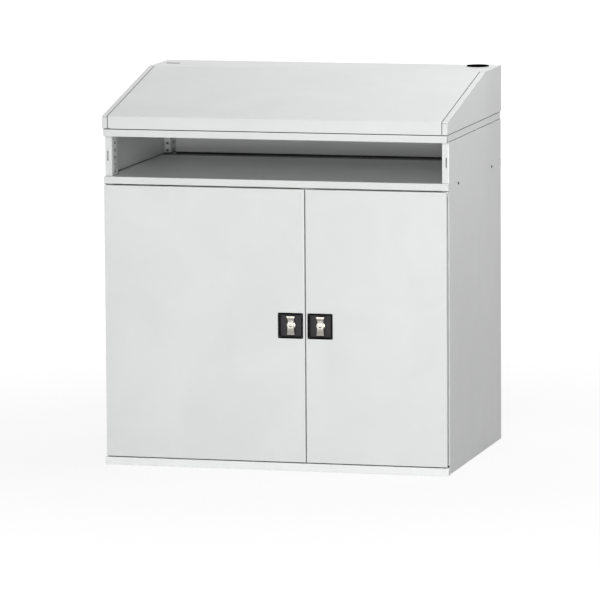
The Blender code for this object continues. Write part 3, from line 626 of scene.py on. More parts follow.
def grained_finish(
        name, colour, tones, roughness, scale, relief, metallic=0.0, gloss=0.5, stretch=EVEN, hollow=None):
    """Plated metal, moulded plastic or rubber with a fine grain, a slow change of tone and painted shade
    where the mesh marks it.
    """
    found = bpy.data.materials.get(name)
    if found:
        return found
    material, tree, shader = blank_finish(name)
    base = Vector(colour)
    sizes = {"Grain scale": scale, "Stretch": stretch}
    grain = add(tree, "ShaderNodeGroup", sizes, node_tree=grain_group()).outputs
    tone = tinted(tree, grain["Tone"], base, tones)
    # painted shade where the mesh marks it
    if hollow:
        tone = marked(tree, "hollow", tone, base * hollow)
    feed(tree, shader, {
        "Base Color": tone,
        "Roughness": ranged(tree, grain["Grain"], *roughness),
        "Metallic": metallic,
        "Specular IOR Level": gloss,
        "Normal": bumped(tree, grain["Grain"], relief, GRAIN_DEPTH),
    })
    return material


def strip_finish(colours):
    """Powder coat painted lighter, as painted light, on the base tray with its strip, the front uprights and
    the side panels' front folds.
    """
    return powder_finish(colours, "strip_coat", colours.strip)


def shade_finish(colours):
    """Powder coat darkened as painted shade, in the depth of seams, slots, gaps and joints."""
    return powder_finish(colours, "seam_shade", colours.seam)


def coats(colours):
    """The two finishes of a folded piece: its powder coat, and the same coat darkened as painted shade."""
    return powder_finish(colours), shade_finish(colours)


def nickel_finish(colours):
    """Satin nickel on the turn handles and key plugs, darkened towards a shaded tone where they carry
    painted shade.
    """
    return grained_finish(
        "satin_nickel", colours.nickel, PLATED_TONES, roughness=(0.24, 0.34), scale=1800.0, relief=0.08,
        metallic=1.0, stretch=(1.0, 1.0, 0.25), hollow=0.28)


def zinc_finish(colours):
    """Bright zinc on screws, pins, clips and lock parts."""
    return grained_finish(
        "bright_zinc", colours.zinc, PLATED_TONES, roughness=(0.28, 0.42), scale=1200.0, relief=0.10,
        metallic=1.0, stretch=(1.0, 0.2, 1.0))


def plastic_finish(colours):
    """Black moulded plastic of the grommet and bushes."""
    return grained_finish(
        "black_moulding", colours.plastic, MOULDED_TONES, roughness=(0.55, 0.70), scale=2400.0, relief=0.12,
        gloss=0.0)


def rim_finish(colours):
    """Black plastic of the lock plates' rims, also used as painted shade in the keyways and on the screw
    heads.
    """
    return grained_finish(
        "plate_rim", colours.rim, MOULDED_TONES, roughness=(0.50, 0.65), scale=2200.0, relief=0.10,
        gloss=0.0)


def recess_finish(colours):
    """Dark grey plastic in the lock plates' recesses."""
    return grained_finish(
        "plate_recess", colours.recess, MOULDED_TONES, roughness=(0.50, 0.66), scale=1700.0, relief=0.22,
        gloss=0.2)


def rubber_finish(colours):
    """Rubber of the door buffers."""
    return grained_finish(
        "buffer_rubber", colours.rubber, MOULDED_TONES, roughness=(0.70, 0.88), scale=1600.0, relief=0.15,
        gloss=0.3)


SLOT_FINISHES = {
    "powder_coated_steel": powder_finish, "black_plastic": plastic_finish, "nickel_plate": nickel_finish,
    "zinc_plate": zinc_finish, "rubber": rubber_finish,
}


# Sheet pieces

def fold_sheet(bm, edges, sheet):
    """Fold a sheet at its edges."""
    round_edges(bm, edges, sheet.fold_radius, sheet.fold_segments)


def folded_box(low, high, sheet):
    """A box of sheet with every edge folded."""
    bm = box_shape(low, high)
    fold_sheet(bm, bm.edges[:], sheet)
    return bm


def folded_tray(right_half, low, high, sheet):
    """A tray of sheet with the same outline left and right, folded at every edge that stands out."""
    bm = prism_shape(right_half + [(-x, y) for x, y in reversed(right_half)], low, high)
    fold_sheet(bm, [edge for edge in bm.edges if edge.is_convex], sheet)
    return bm


class DESK_OT_doors(bpy.types.Operator):
    """Fold the two door pans, open for the locks and hinge pins"""
    bl_idname = "desk.doors"
    bl_label = "Doors"

    set_in = 0.0045          # outer edge, in from the plain door's
    dark_edge = 0.006        # unlit rear of the outer edge
    lock_opening = 0.0025    # the opening's edge, in from the plate's
    pin_room = (0.018, 0.028)  # open corner of the return: across and up

    def execute(self, context):
        sheet, colours = context.scene.desk_sheet, context.scene.desk_colours
        edge = Vector((1, 0, 1)) * (sheet.thickness + sheet.edge_return)
        inset = Vector((1, 0, 1)) * self.lock_opening
        radius = sheet.fold_radius
        wide, tall = self.pin_room
        for hand, side, node, low, high in both("{}_door"):
            outside = high if side > 0 else low
            outside.x -= side * self.set_in
            bm = folded_box(low, high, sheet)
            pierce(bm, BACK, low + edge, high - edge)
            plate_low, plate_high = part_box(f"{hand}_lock_plate")
            pierce(bm, FRONT, plate_low + inset, plate_high - inset)
            outer = outside.x - side * radius
            for z0, z1 in ((low.z + radius, low.z + tall), (high.z - tall, high.z - radius)):
                pierce(bm, BACK, (outer, low.y, z0), (outer - side * wide, high.y, z1))
            thicken(bm, sheet.thickness)
            bm = combine(bm, "DIFFERENCE", *self.hinge_holes(hand, low, high, sheet))
            # painted shade on the rear of the door's outer edge
            rear = high.y - self.dark_edge
            divide(bm, facing(bm, RIGHT * side), BACK * rear, BACK)
            shade(bm, (outside.x, rear, low.z), (outside.x - side * radius / 2, high.y, high.z))
            dress(node, bm, *coats(colours))
        return {"FINISHED"}

    def hinge_holes(self, hand, low, high, sheet):
        """Cutters for the pin through the upper edge and the bush in the lower one."""
        for fitting, z in ((f"{hand}_lower_hinge_bush", low.z), (f"{hand}_upper_hinge_pin", high.z)):
            pin_low, pin_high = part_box(fitting)
            place = (pin_low + pin_high) / 2
            radius = (pin_high.x - pin_low.x) / 2 - (sheet.thickness - 2 * CLEAR)
            start = Vector((place.x, place.y, z - 2 * sheet.thickness))
            yield bar_shape(radius, start, start + UP * 4 * sheet.thickness)


class DESK_OT_base_tray(bpy.types.Operator):
    """Fold the base tray with its strip under the doors"""
    bl_idname = "desk.base_tray"
    bl_label = "Base tray"

    def execute(self, context):
        sheet, colours = context.scene.desk_sheet, context.scene.desk_colours
        low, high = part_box("base_tray")
        post, front, _, _ = cabinet()
        inner, nose_back = post - CLEAR, front - CLEAR
        outline = [(high.x, low.y), (high.x, nose_back), (inner, nose_back), (inner, high.y)]
        bm = folded_tray(outline, low.z, high.z, sheet)
        reach = inner - sheet.thickness - sheet.edge_return
        pierce(
            bm, DOWN, (-reach, front + sheet.edge_return, low.z),
            (reach, high.y - sheet.thickness - sheet.edge_return, high.z))
        thicken(bm, sheet.thickness)
        # the base tray takes the painted-light coat
        dress("base_tray", bm, strip_finish(colours))
        return {"FINISHED"}


class DESK_OT_compartment_floor(bpy.types.Operator):
    """Fold the floor of the open compartment, notched round the front uprights"""
    bl_idname = "desk.compartment_floor"
    bl_label = "Compartment floor"

    dark_rear = 0.034        # unlit rear edge, in front of the cable gap

    def execute(self, context):
        sheet, colours = context.scene.desk_sheet, context.scene.desk_colours
        low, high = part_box("compartment_floor")
        post, front, outer, _ = cabinet()
        wide, narrow = outer - sheet.thickness - CLEAR, post - CLEAR
        nose_back = front - CLEAR
        post_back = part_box("front_right_upright")[1].y + CLEAR
        outline = [
            (high.x, low.y), (high.x, nose_back), (narrow, nose_back),
            (narrow, post_back), (wide, post_back), (wide, high.y),
        ]
        bm = folded_tray(outline, low.z, high.z, sheet)
        reach = narrow - sheet.thickness - sheet.edge_return
        pierce(bm, DOWN, (-reach, nose_back, low.z), (reach, high.y - sheet.fold_radius - CLEAR, high.z))
        thicken(bm, sheet.thickness)
        joint = high.z - sheet.fold_radius
        # painted shade along the joints with the side walls, and on the rear edge in front of the cable gap
        for side in (-1, 1):
            shade(
                bm, (side * wide, nose_back, joint),
                (side * (narrow - sheet.fold_radius), high.y - sheet.fold_radius, high.z))
        rear = high.y - self.dark_rear
        divide(bm, facing(bm, UP), BACK * rear, BACK)
        shade(bm, (-wide, rear, joint), (wide, high.y, high.z))
        dress("compartment_floor", bm, *coats(colours))
        return {"FINISHED"}


class DESK_OT_top_tray(bpy.types.Operator):
    """Fold the top tray, whose front is the rail over the compartment"""
    bl_idname = "desk.top_tray"
    bl_label = "Top tray"

    rear_return = 0.020
    corner_gap = 0.005       # open seam behind each end of the rail

    def execute(self, context):
        sheet, hood, colours = context.scene.desk_sheet, context.scene.desk_hood, context.scene.desk_colours
        low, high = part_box("top_tray")
        post, front, _, rear = cabinet()
        bm = folded_box(low, high, sheet)
        pierce(bm, DOWN, (-post, front, low.z), (post, rear - self.rear_return, high.z))
        middle = middle_of("grommet_ring")
        wide, deep = hood.cutout
        pierce(
            bm, UP, (middle.x - wide, middle.y - deep / 2, low.z),
            (middle.x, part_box("top_sheet")[1].y, high.z))
        radius, skin = sheet.fold_radius, sheet.thickness
        tall = high.z - low.z - 2 * radius
        room = BACK * self.corner_gap + UP * tall
        ends = [(RIGHT * side, Vector((side * high.x, low.y + radius, low.z + radius))) for side in (-1, 1)]
        for outward, corner in ends:
            pierce(bm, outward, corner, corner + room)
        thicken(bm, skin)
        # painted shade in the end slits, on a dark sheet behind each, on the folds at the ends, and along
        # the top's front and rear folds
        for outward, corner in ends:
            shade(bm, corner - outward * CLEAR, corner + room - outward * skin)
            behind = corner - outward * (skin + CLEAR)
            add_dark(bm, box_shape(behind, corner + room + BACK * self.corner_gap - outward * 2 * skin))
            for z in (low.z, high.z - radius):
                shade(bm, (corner.x, front, z), (corner.x - outward.x * radius, high.y, z + radius))
        for y in (low.y, high.y - radius):
            shade(bm, (low.x, y, high.z - radius), (high.x, y + radius, high.z))
        dress("top_tray", bm, *coats(colours), also=["top_sheet"])
        return {"FINISHED"}


class DESK_OT_back_panel(bpy.types.Operator):
    """Cut the back panel and the partition, with painted shade behind the cable gap of the compartment"""
    bl_idname = "desk.back_panel"
    bl_label = "Back panel and partition"

    ease = 0.0004

    def execute(self, context):
        colours = context.scene.desk_colours
        low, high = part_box("back_panel")
        floor_low, floor_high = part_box("compartment_floor")
        bm = box_shape(low, high + UP * CLEAR)
        for z in (floor_low.z, floor_high.z):
            divide(bm, facing(bm, FRONT), UP * z, UP)
        shade(bm, (low.x, low.y, floor_low.z), (high.x, low.y, floor_high.z))
        dress("back_panel", bm, *coats(colours), ease=self.ease)
        low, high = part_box("partition")
        bm = plain_solid("partition")
        divide(bm, bm.faces[:], UP * floor_low.z, UP)
        shade(bm, (low.x, floor_high.y, floor_low.z), high)
        dress("partition", bm, *coats(colours), ease=self.ease)
        return {"FINISHED"}


class DESK_OT_side_panels(bpy.types.Operator):
    """Fold the side panels, whose front folds are slotted posts"""
    bl_idname = "desk.side_panels"
    bl_label = "Side panels"

    joint = 0.0025           # unlit foot of the wall over the compartment floor

    def execute(self, context):
        sheet, colours = context.scene.desk_sheet, context.scene.desk_colours
        radius = sheet.fold_radius
        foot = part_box("compartment_floor")[1].z
        for hand, side, node, low, high in both("{}_side_panel"):
            bm = box_shape(low, high)
            bmesh.ops.delete(bm, geom=facing(bm, LEFT * side), context="FACES")
            fold_sheet(bm, bends(bm), sheet)
            pierce(bm, FRONT, *slot_corners(sheet, hand, side, node))
            thicken(bm, sheet.thickness)
            for z in (foot, foot + self.joint):
                divide(bm, facing(bm, LEFT * side), UP * z, UP)
            outer = high.x if side > 0 else low.x
            skin = outer - side * sheet.thickness
            # painted shade along the inner wall's foot over the compartment floor
            shade(bm, (skin, low.y, foot), (skin, high.y, foot + self.joint))
            # painted highlight: the outer front fold takes the painted-light coat
            shade(bm, (outer, low.y, low.z), (skin - side * radius, low.y + radius, high.z), finish=2)
            dress(node, bm, *coats(colours), strip_finish(colours))
        return {"FINISHED"}


class DESK_OT_uprights(bpy.types.Operator):
    """Fold the perforated uprights inside the side panels"""
    bl_idname = "desk.uprights"
    bl_label = "Uprights"

    joint = 0.0035           # unlit foot of the rear uprights over the compartment floor

    def execute(self, context):
        sheet, colours = context.scene.desk_sheet, context.scene.desk_colours
        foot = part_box("compartment_floor")[1].z
        half = Vector((2 * PAST, sheet.hole[0], sheet.hole[1])) / 2
        eye = Vector((2 * PAST, sheet.eye[0], sheet.eye[1])) / 2
        front_eye = Vector((sheet.eye[1], 2 * PAST, sheet.eye[1])) / 2
        for hand, side in HANDS:
            inward = LEFT * side
            for end in ("front", "rear"):
                node = f"{end}_{hand}_upright"
                low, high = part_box(node)
                web, edge = (low.x, high.x) if side > 0 else (high.x, low.x)
                corners = ((edge, low.y), (web, low.y), (web, high.y), (edge, high.y))
                bm = ribbon_shape([(x, y, low.z) for x, y in corners], UP * (high.z - low.z), FRONT)
                fold_sheet(bm, bends(bm), sheet)
                middle_y = middle_of(f"{hand}_shelf_clip_{end}_{hand}").y
                eyes = [Vector((web, middle_y, z)) for z in eye_heights(sheet)]
                for z in hole_heights(sheet):
                    hole = Vector((web, middle_y, z))
                    pierce(bm, inward, hole - half, hole + half)
                for place in eyes:
                    pierce(bm, inward, place - eye, place + eye)
                    if end == "rear":
                        hole = Vector(((web + edge) / 2, low.y, place.z))
                        pierce(bm, FRONT, hole - front_eye, hole + front_eye)
                if end == "front":
                    pierce(bm, FRONT, *slot_corners(sheet, hand, side, node))
                thicken(bm, sheet.thickness)
                # painted shade in the eyes, and across the rear uprights' foot over the compartment floor
                for place in eyes:
                    shade(bm, place - eye, place + eye)
                if end == "rear":
                    for z in (foot, foot + self.joint):
                        divide(bm, bm.faces[:], UP * z, UP)
                    shade(bm, (low.x, low.y, foot), (high.x, high.y, foot + self.joint))
                # the front uprights take the painted-light coat
                coat = strip_finish(colours) if end == "front" else powder_finish(colours)
                dress(node, bm, coat, shade_finish(colours))
        return {"FINISHED"}


class DESK_OT_shelves(bpy.types.Operator):
    """Fold the two adjustable shelves"""
    bl_idname = "desk.shelves"
    bl_label = "Shelves"

    def execute(self, context):
        sheet = context.scene.desk_sheet
        for _, _, node, low, high in both("{}_shelf"):
            bm = box_shape(low, high)
            bmesh.ops.delete(bm, geom=facing(bm, DOWN), context="FACES")
            fold_sheet(bm, bends(bm), sheet)
            thicken(bm, sheet.thickness)
            dress(node, bm, powder_finish(context.scene.desk_colours))
        return {"FINISHED"}


class DESK_OT_hood_sheet(bpy.types.Operator):
    """Bend the writing sheet with its front lip, flat top and turned-down rear edge"""
    bl_idname = "desk.hood_sheet"
    bl_label = "Hood sheet"

    soft_bend = 0.001        # between the slant and the flat top

    def execute(self, context):
        sheet, hood, colours = context.scene.desk_sheet, context.scene.desk_hood, context.scene.desk_colours
        low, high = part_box("hood_sheet")
        profile = hood_profile(hood)
        line = [(low.x, y, z) for y, z in profile + [(high.y, high.z - hood.rear_turn)]]
        bm = ribbon_shape(line, RIGHT * (high.x - low.x), FRONT)
        seam = high.x - hood.flange - hood.seam
        flat_y = profile[2][0]
        notch_y = flat_y + hood.seam
        for side in (-1, 1):
            divide(bm, bm.faces[:], RIGHT * side * seam, RIGHT)
        divide(bm, facing(bm, UP), BACK * notch_y, BACK)
        notches = [
            face for face in bm.faces
            if abs(face.calc_center_median().x) > seam and face.calc_center_median().y < notch_y
        ]
        bmesh.ops.delete(bm, geom=notches, context="FACES")
        radii = {low.y: hood.bend_radius, flat_y: self.soft_bend, high.y: sheet.fold_radius}
        for y, radius in radii.items():
            folds = [edge for edge in bends(bm) if lies_at(edge, y=y)]
            round_edges(bm, folds, radius, sheet.fold_segments, fold=0.0)
        across, back = hood.slot_from
        half = Vector((hood.slot[0] / 2, hood.slot[1] / 2, PAST))
        slot = Vector((low.x + across, high.y - back, high.z))
        pierce(bm, UP, slot - half, slot + half)
        thicken(bm, sheet.thickness)
        middle = middle_of("grommet_ring")
        middle.z = high.z
        hole = bar_shape(hood.hole_radius, middle + DOWN * 2 * PAST, middle + UP * 2 * PAST, 2 * ROUND_SIDES)
        bm = combine(bm, "DIFFERENCE", hole)
        # painted shade on the walls of the cable slot and on the sheet's cut edges at the seams
        shade(bm, slot - half, slot + half - UP * (PAST + sheet.thickness / 2))
        for side in (-1, 1):
            shade(bm, (side * seam, low.y, low.z), (side * seam, notch_y, high.z))
        dress("hood_sheet", bm, *coats(colours))
        return {"FINISHED"}


class DESK_OT_hood_cheeks(bpy.types.Operator):
    """Fold the hood's cheeks with their flanges, and the dark ledges of painted shade behind the seams"""
    bl_idname = "desk.hood_cheeks"
    bl_label = "Hood cheeks"

    # strength of the painted highlight on the cheeks' folds
    fold_mark = 0.6          # how far the folds take the folds' tone
    digits = 5               # to which corners are compared

    def execute(self, context):
        sheet, hood, colours = context.scene.desk_sheet, context.scene.desk_hood, context.scene.desk_colours
        under = sheet.thickness + CLEAR
        front, fold, flat, _ = hood_profile(hood)
        for _, side, node, low, high in both("hood_{}_cheek"):
            skin = high.x if side > 0 else low.x
            web_top = high.z - under
            outline = [front, fold, flat, (flat[0], web_top), (high.y, web_top), (high.y, low.z)]
            bm = new_shape()
            web = bm.faces.new([bm.verts.new((skin, y, z)) for y, z in outline])
            bm.normal_update()
            if web.normal.x * side < 0:
                bmesh.ops.reverse_faces(bm, faces=[web])
            seams = [
                edge for edge in web.edges
                if self.on_line(edge, front, fold) or self.on_line(edge, fold, flat)
            ]
            foot = [edge for edge in web.edges if lies_at(edge, z=low.z)]
            self.flange(bm, seams, -side * hood.flange)
            self.flange(bm, foot, -side * (hood.flange + hood.ledge))
            fold_edges = [edge for edge in bends(bm) if lies_at(edge, y=fold[0], z=fold[1])]
            web_edges = [edge for edge in bends(bm) if lies_at(edge, x=skin)]
            round_edges(
                bm, fold_edges + web_edges, sheet.fold_radius, sheet.fold_segments, fold=self.fold_mark)
            slit_top = fold[1] - hood.bend_radius
            pierce(
                bm, FRONT, (skin - side * sheet.fold_radius, front[0] - PAST, slit_top - hood.slit),
                (skin - side * (hood.flange + PAST), front[0] + PAST, slit_top))
            thicken(bm, sheet.thickness)
            self.ledge(bm, hood, side, skin, under, sheet)
            # painted shade on the flange's cut edge at the seam
            cut = skin - side * hood.flange
            shade(bm, (cut, low.y, low.z), (cut, high.y, high.z))
            dress(node, bm, *coats(colours))
        return {"FINISHED"}

    def on_line(self, edge, start, end):
        """Whether an edge runs from one corner of the profile to the other."""
        corners = [(vert.co.y, vert.co.z) for vert in edge.verts]
        found, wanted = (
            sorted((round(y, self.digits), round(z, self.digits)) for y, z in pair)
            for pair in (corners, (start, end)))
        return found == wanted

    def flange(self, bm, edges, reach):
        """Turn a flange in from edges of the web."""
        draw_out(bm, bmesh.ops.extrude_edge_only(bm, edges=edges), RIGHT * reach)

    def ledge(self, bm, hood, side, skin, under, sheet):
        """Lay a strip of painted shade behind the seam of the slant and the front."""
        front, fold, flat, _ = hood_profile(hood, under)
        start = skin - side * sheet.fold_radius
        end = skin - side * (hood.flange + hood.ledge)
        strip = ribbon_shape([(start, y, z) for y, z in (front, fold, flat)], RIGHT * (end - start), FRONT)
        thicken(strip, sheet.thickness)
        add_dark(bm, strip)


# Locks and small pieces

class DESK_OT_lock_plates(bpy.types.Operator):
    """Mould the recessed lock plates"""
    bl_idname = "desk.lock_plates"
    bl_label = "Lock plates"

    cup_in = 0.003           # wall of the cup, in from the plate's edge
    along = 0.9              # how nearly a corner's edge runs front to back

    def execute(self, context):
        lock, colours = context.scene.desk_lock, context.scene.desk_colours
        for hand, _, node, low, high in both("{}_lock_plate"):
            door_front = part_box(f"{hand}_door")[0].y
            bm = box_shape(low, (high.x, door_front - CLEAR, high.z))
            depth = door_front + lock.depth - low.y
            front = facing(bm, FRONT)
            bmesh.ops.inset_region(bm, faces=front, thickness=lock.rim, use_even_offset=True)
            walls = bmesh.ops.inset_region(
                bm, faces=front, thickness=lock.draft, depth=-depth, use_even_offset=True)["faces"]
            for face in front + walls:
                face.material_index = 1
            rear = facing(bm, BACK)
            bmesh.ops.inset_region(bm, faces=rear, thickness=self.cup_in, use_even_offset=True)
            bmesh.ops.inset_region(
                bm, faces=rear, thickness=CLEAR, depth=high.y - door_front + CLEAR, use_even_offset=True)
            corners = [
                edge for edge in bends(bm)
                if abs((edge.verts[0].co - edge.verts[1].co).normalized().y) > self.along
            ]
            round_edges(bm, corners, lock.corner, segments=6)
            round_edges(bm, bends(bm, CREASE), lock.plate_ease, segments=3)
            middle = (low + high) / 2
            bore = bar_shape(
                lock.spindle + CLEAR / 2, (middle.x, low.y, middle.z), (middle.x, high.y + PAST, middle.z))
            dress(node, combine(bm, "DIFFERENCE", bore), rim_finish(colours), recess_finish(colours))
        return {"FINISHED"}


class DESK_OT_turn_handles(bpy.types.Operator):
    """Cast the turn handles with their rosettes and spindles"""
    bl_idname = "desk.turn_handles"
    bl_label = "Turn handles"

    # Share of the half height, half width, dip of the front and its painted shade, from the head to the foot
    levels = (
        (1.0, 0.0125, 0.0008, 0.0), (0.93, 0.0123, 0.0, 0.05), (0.82, 0.0113, 0.0, 0.35),
        (0.70, 0.0101, 0.0012, 0.75), (0.55, 0.0087, 0.0024, 0.9), (0.42, 0.0083, 0.0014, 0.8),
        (0.32, 0.0085, 0.0004, 0.7), (0.0, 0.0093, 0.0, 0.72), (-0.32, 0.0098, 0.0002, 0.75),
        (-0.55, 0.0099, 0.0008, 0.85), (-0.80, 0.0106, 0.0012, 0.95), (-0.92, 0.0111, 0.0012, 0.9),
        (-1.0, 0.0114, 0.0012, 0.8),
    )
    lever = 0.007            # thickness
    least_bend = math.radians(45)  # of the lever's edges that are rounded
    plug_room = 0.0053       # radius of the bore for the key plug
    plug_depth = 0.009
    square = 0.0074          # end of the spindle in the cam

    def execute(self, context):
        lock = context.scene.desk_lock
        for hand, _, node, low, high in both("{}_turn_handle"):
            axis = middle_of(f"{hand}_key_plug")
            cam_low, cam_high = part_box(f"{hand}_latch_cam")
            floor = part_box(f"{hand}_door")[0].y + lock.depth - CLEAR
            lever = self.lever_shape(low, high, axis, lock)
            joint = low.y + self.lever - lock.handle_ease
            rosette = self.bar(lock.rosette, axis, floor, joint)
            round_edges(rosette, bends(rosette, CREASE), 2 * lock.handle_ease, segments=6, fold=0.0)
            spindle = self.bar(lock.spindle, axis, joint, cam_low.y - CLEAR)
            half = self.square / 2
            square = box_shape(
                (axis.x - half, cam_low.y - PAST, axis.z - half), (axis.x + half, cam_high.y, axis.z + half))
            made = combine(lever, "UNION", rosette, spindle, square)
            room = self.bar(self.plug_room, axis, low.y - PAST, low.y + self.plug_depth)
            made = combine(made, "DIFFERENCE", room)
            dress(node, made, nickel_finish(context.scene.desk_colours))
        return {"FINISHED"}

    def bar(self, radius, axis, start, end):
        """A round bar on the handle's axis."""
        return bar_shape(radius, (axis.x, start, axis.z), (axis.x, end, axis.z))

    def lever_shape(self, low, high, axis, lock):
        """Flared head, recessed neck, round body and flared foot, shaped level by level."""
        half = (high.z - low.z) / 2
        front, back = low.y, low.y + self.lever
        bm = box_shape((axis.x - half, front, axis.z - half), (axis.x + half, back, axis.z + half))
        # painted shade, set level by level from the table above
        hollow = bm.verts.layers.float.new("hollow")
        for share, *_ in self.levels[1:-1]:
            divide(bm, bm.faces[:], axis + UP * share * half, UP)
        for vert in bm.verts:
            share = (vert.co.z - axis.z) / half
            _, wide, dip, vert[hollow] = min(self.levels, key=lambda level: abs(level[0] - share))
            vert.co.x = axis.x + math.copysign(wide, vert.co.x - axis.x)
            if vert.co.y < (front + back) / 2:
                vert.co.y += dip
        round_edges(bm, bends(bm, self.least_bend), lock.handle_ease, segments=4, fold=0.0)
        return bm


class DESK_OT_key_plugs(bpy.types.Operator):
    """Turn the key plugs, each with a level keyway"""
    bl_idname = "desk.key_plugs"
    bl_label = "Key plugs"

    ease = 0.0004
    drop = 0.0022            # keyway under the plug's middle
    # painted shade over the whole plug, as its share of the way to the shaded tone
    dull = 0.62              # how far the plug takes the hollows' tone

    def execute(self, context):
        lock, colours = context.scene.desk_lock, context.scene.desk_colours
        wide, deep, tall = lock.keyway
        for _, _, node, low, high in both("{}_key_plug"):
            middle = (low + high) / 2
            radius = (high.z - low.z) / 2
            plug = bar_shape(radius, (middle.x, low.y, middle.z), (middle.x, high.y, middle.z))
            hollow = plug.verts.layers.float.new("hollow")
            for vert in plug.verts:
                vert[hollow] = self.dull
            round_edges(plug, bends(plug, CREASE), self.ease, segments=3, fold=0.0)
            start = Vector((middle.x - wide / 2, low.y, middle.z - self.drop - tall / 2))
            end = start + Vector((wide, deep, tall))
            plug = combine(plug, "DIFFERENCE", box_shape(start + FRONT * PAST, end))
            # painted shade in the keyway
            shade(plug, start + BACK * CLEAR, end)
            dress(node, plug, nickel_finish(colours), rim_finish(colours))
        return {"FINISHED"}


class DESK_OT_grommet(bpy.types.Operator):
    """Mould the cable grommet's ring and its turning cover"""
    bl_idname = "desk.grommet"
    bl_label = "Grommet"

    flange = 0.002           # ring past its hole
    wall = 0.0047
    ledge = 0.0035           # cover past the ring's bore
    notch = (0.018, 0.014)
    notch_corner = 0.004
    dish = 0.0004
    dish_rim = 0.003         # flat edge round the dish
    ease = 0.0005

    def execute(self, context):
        finish = plastic_finish(context.scene.desk_colours)
        low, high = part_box("grommet_ring")
        cover_low, cover_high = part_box("grommet_cover")
        middle = middle_of("grommet_ring")
        middle.z = 0.0
        dress("grommet_ring", self.ring(low, high, middle, cover_low.z - CLEAR), finish)
        dress("grommet_cover", self.cover(cover_low, cover_high, middle), finish)
        return {"FINISHED"}

    def ring(self, low, high, middle, seat):
        """Flanged sleeve with a ledge that the cover lies on."""
        outer = (high.x - low.x) / 2
        sleeve = outer - self.flange - CLEAR
        bore = sleeve - self.wall
        recess = bore + self.ledge + CLEAR
        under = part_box("hood_sheet")[1].z + CLEAR
        profile = [
            (outer, under), (outer, high.z), (recess, high.z), (recess, seat), (bore, seat),
            (bore, low.z), (sleeve, low.z), (sleeve, under),
        ]
        bm = new_shape()
        verts = [bm.verts.new((radius, 0.0, z)) for radius, z in profile]
        edges = [bm.edges.new(pair) for pair in zip(verts, verts[1:] + verts[:1])]
        bmesh.ops.spin(
            bm, geom=verts + edges, cent=(0, 0, 0), axis=UP, angle=2 * math.pi, steps=2 * ROUND_SIDES,
            use_merge=True)
        bmesh.ops.recalc_face_normals(bm, faces=bm.faces[:])
        bmesh.ops.translate(bm, vec=middle, verts=bm.verts[:])
        round_edges(bm, bends(bm, CREASE), self.ease, segments=3, fold=0.0)
        return bm

    def cover(self, low, high, middle):
        """Dished disc with a notch for the cables."""
        radius = (high.x - low.x) / 2
        bm = bar_shape(radius, middle + UP * low.z, middle + UP * high.z, 2 * ROUND_SIDES)
        bmesh.ops.inset_region(bm, faces=facing(bm, UP), thickness=self.dish_rim, depth=-self.dish)
        wide, deep = self.notch
        room = box_shape(
            middle + Vector((-wide / 2, radius - deep, low.z - PAST)),
            middle + Vector((wide / 2, radius + PAST, high.z + PAST)))
        upright = [
            edge for edge in room.edges if abs(edge.verts[0].co.z - edge.verts[1].co.z) > PAST
            and edge.verts[0].co.y < middle.y + radius
        ]
        round_edges(room, upright, self.notch_corner, segments=6, fold=0.0)
        bm = combine(bm, "DIFFERENCE", room)
        round_edges(bm, bends(bm, CREASE), self.ease / 2, segments=2, fold=0.0)
        return bm


class DESK_OT_floor_screws(bpy.types.Operator):
    """Turn the round-headed screws of the compartment floor, with painted shade in the socket and on the
    head below its top
    """
    bl_idname = "desk.floor_screws"
    bl_label = "Floor screws"

    head = 0.0016
    dome = 0.0010
    shank = 0.0025
    socket_radius = 0.0025
    socket_depth = 0.0009
    # the head's rim within this distance of its top stays out of the painted shade
    lit = 0.003              # bright top of the head's rim

    def execute(self, context):
        colours = context.scene.desk_colours
        across = Vector((0, 1, 1))
        for hand, side in HANDS:
            for end in ("front", "rear"):
                node = f"{hand}_floor_screw_{end}"
                low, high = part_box(node)
                middle = (low + high) / 2
                radius = (high.z - low.z) / 2
                top, tip = (high.x, low.x) if side > 0 else (low.x, high.x)
                crown = Vector((top, middle.y, middle.z))
                inward = LEFT * side
                head = bar_shape(radius, crown + inward * self.head, crown)
                rim = [edge for edge in bends(head, CREASE) if lies_at(edge, x=top)]
                round_edges(head, rim, self.dome, segments=5, fold=0.0)
                shank = bar_shape(self.shank, (tip, middle.y, middle.z), crown + inward * self.head / 2)
                socket = bar_shape(
                    self.socket_radius, crown + inward * self.socket_depth, crown - inward * PAST, sides=6)
                screw = combine(combine(head, "UNION", shank), "DIFFERENCE", socket)
                # painted shade in the socket, and on the head up to its top rim
                for depth, start, reach, top_lit in (
                    (self.socket_depth, CLEAR, self.socket_radius, 0.0), (self.head, 0.0, radius, self.lit),
                ):
                    shade(
                        screw, crown + inward * depth - across * reach,
                        crown + inward * start + across * reach - UP * top_lit)
                dress(node, screw, zinc_finish(colours), rim_finish(colours))
        return {"FINISHED"}


class DESK_OT_fittings(bpy.types.Operator):
    """Ease the edges of the flat sheets, hinge and lock fittings and shelf clips"""
    bl_idname = "desk.fittings"
    bl_label = "Fittings"

    sheet_ease = 0.0004
    fitting_ease = 0.0003

    def execute(self, context):
        for node, source in frame["nodes"].items():
            if source.hide_render:
                continue
            slot = SLOTS[node]
            ease = self.sheet_ease if slot == "powder_coated_steel" else self.fitting_ease
            dress(node, plain_solid(node), SLOT_FINISHES[slot](context.scene.desk_colours), ease=ease)
        return {"FINISHED"}


# Stage

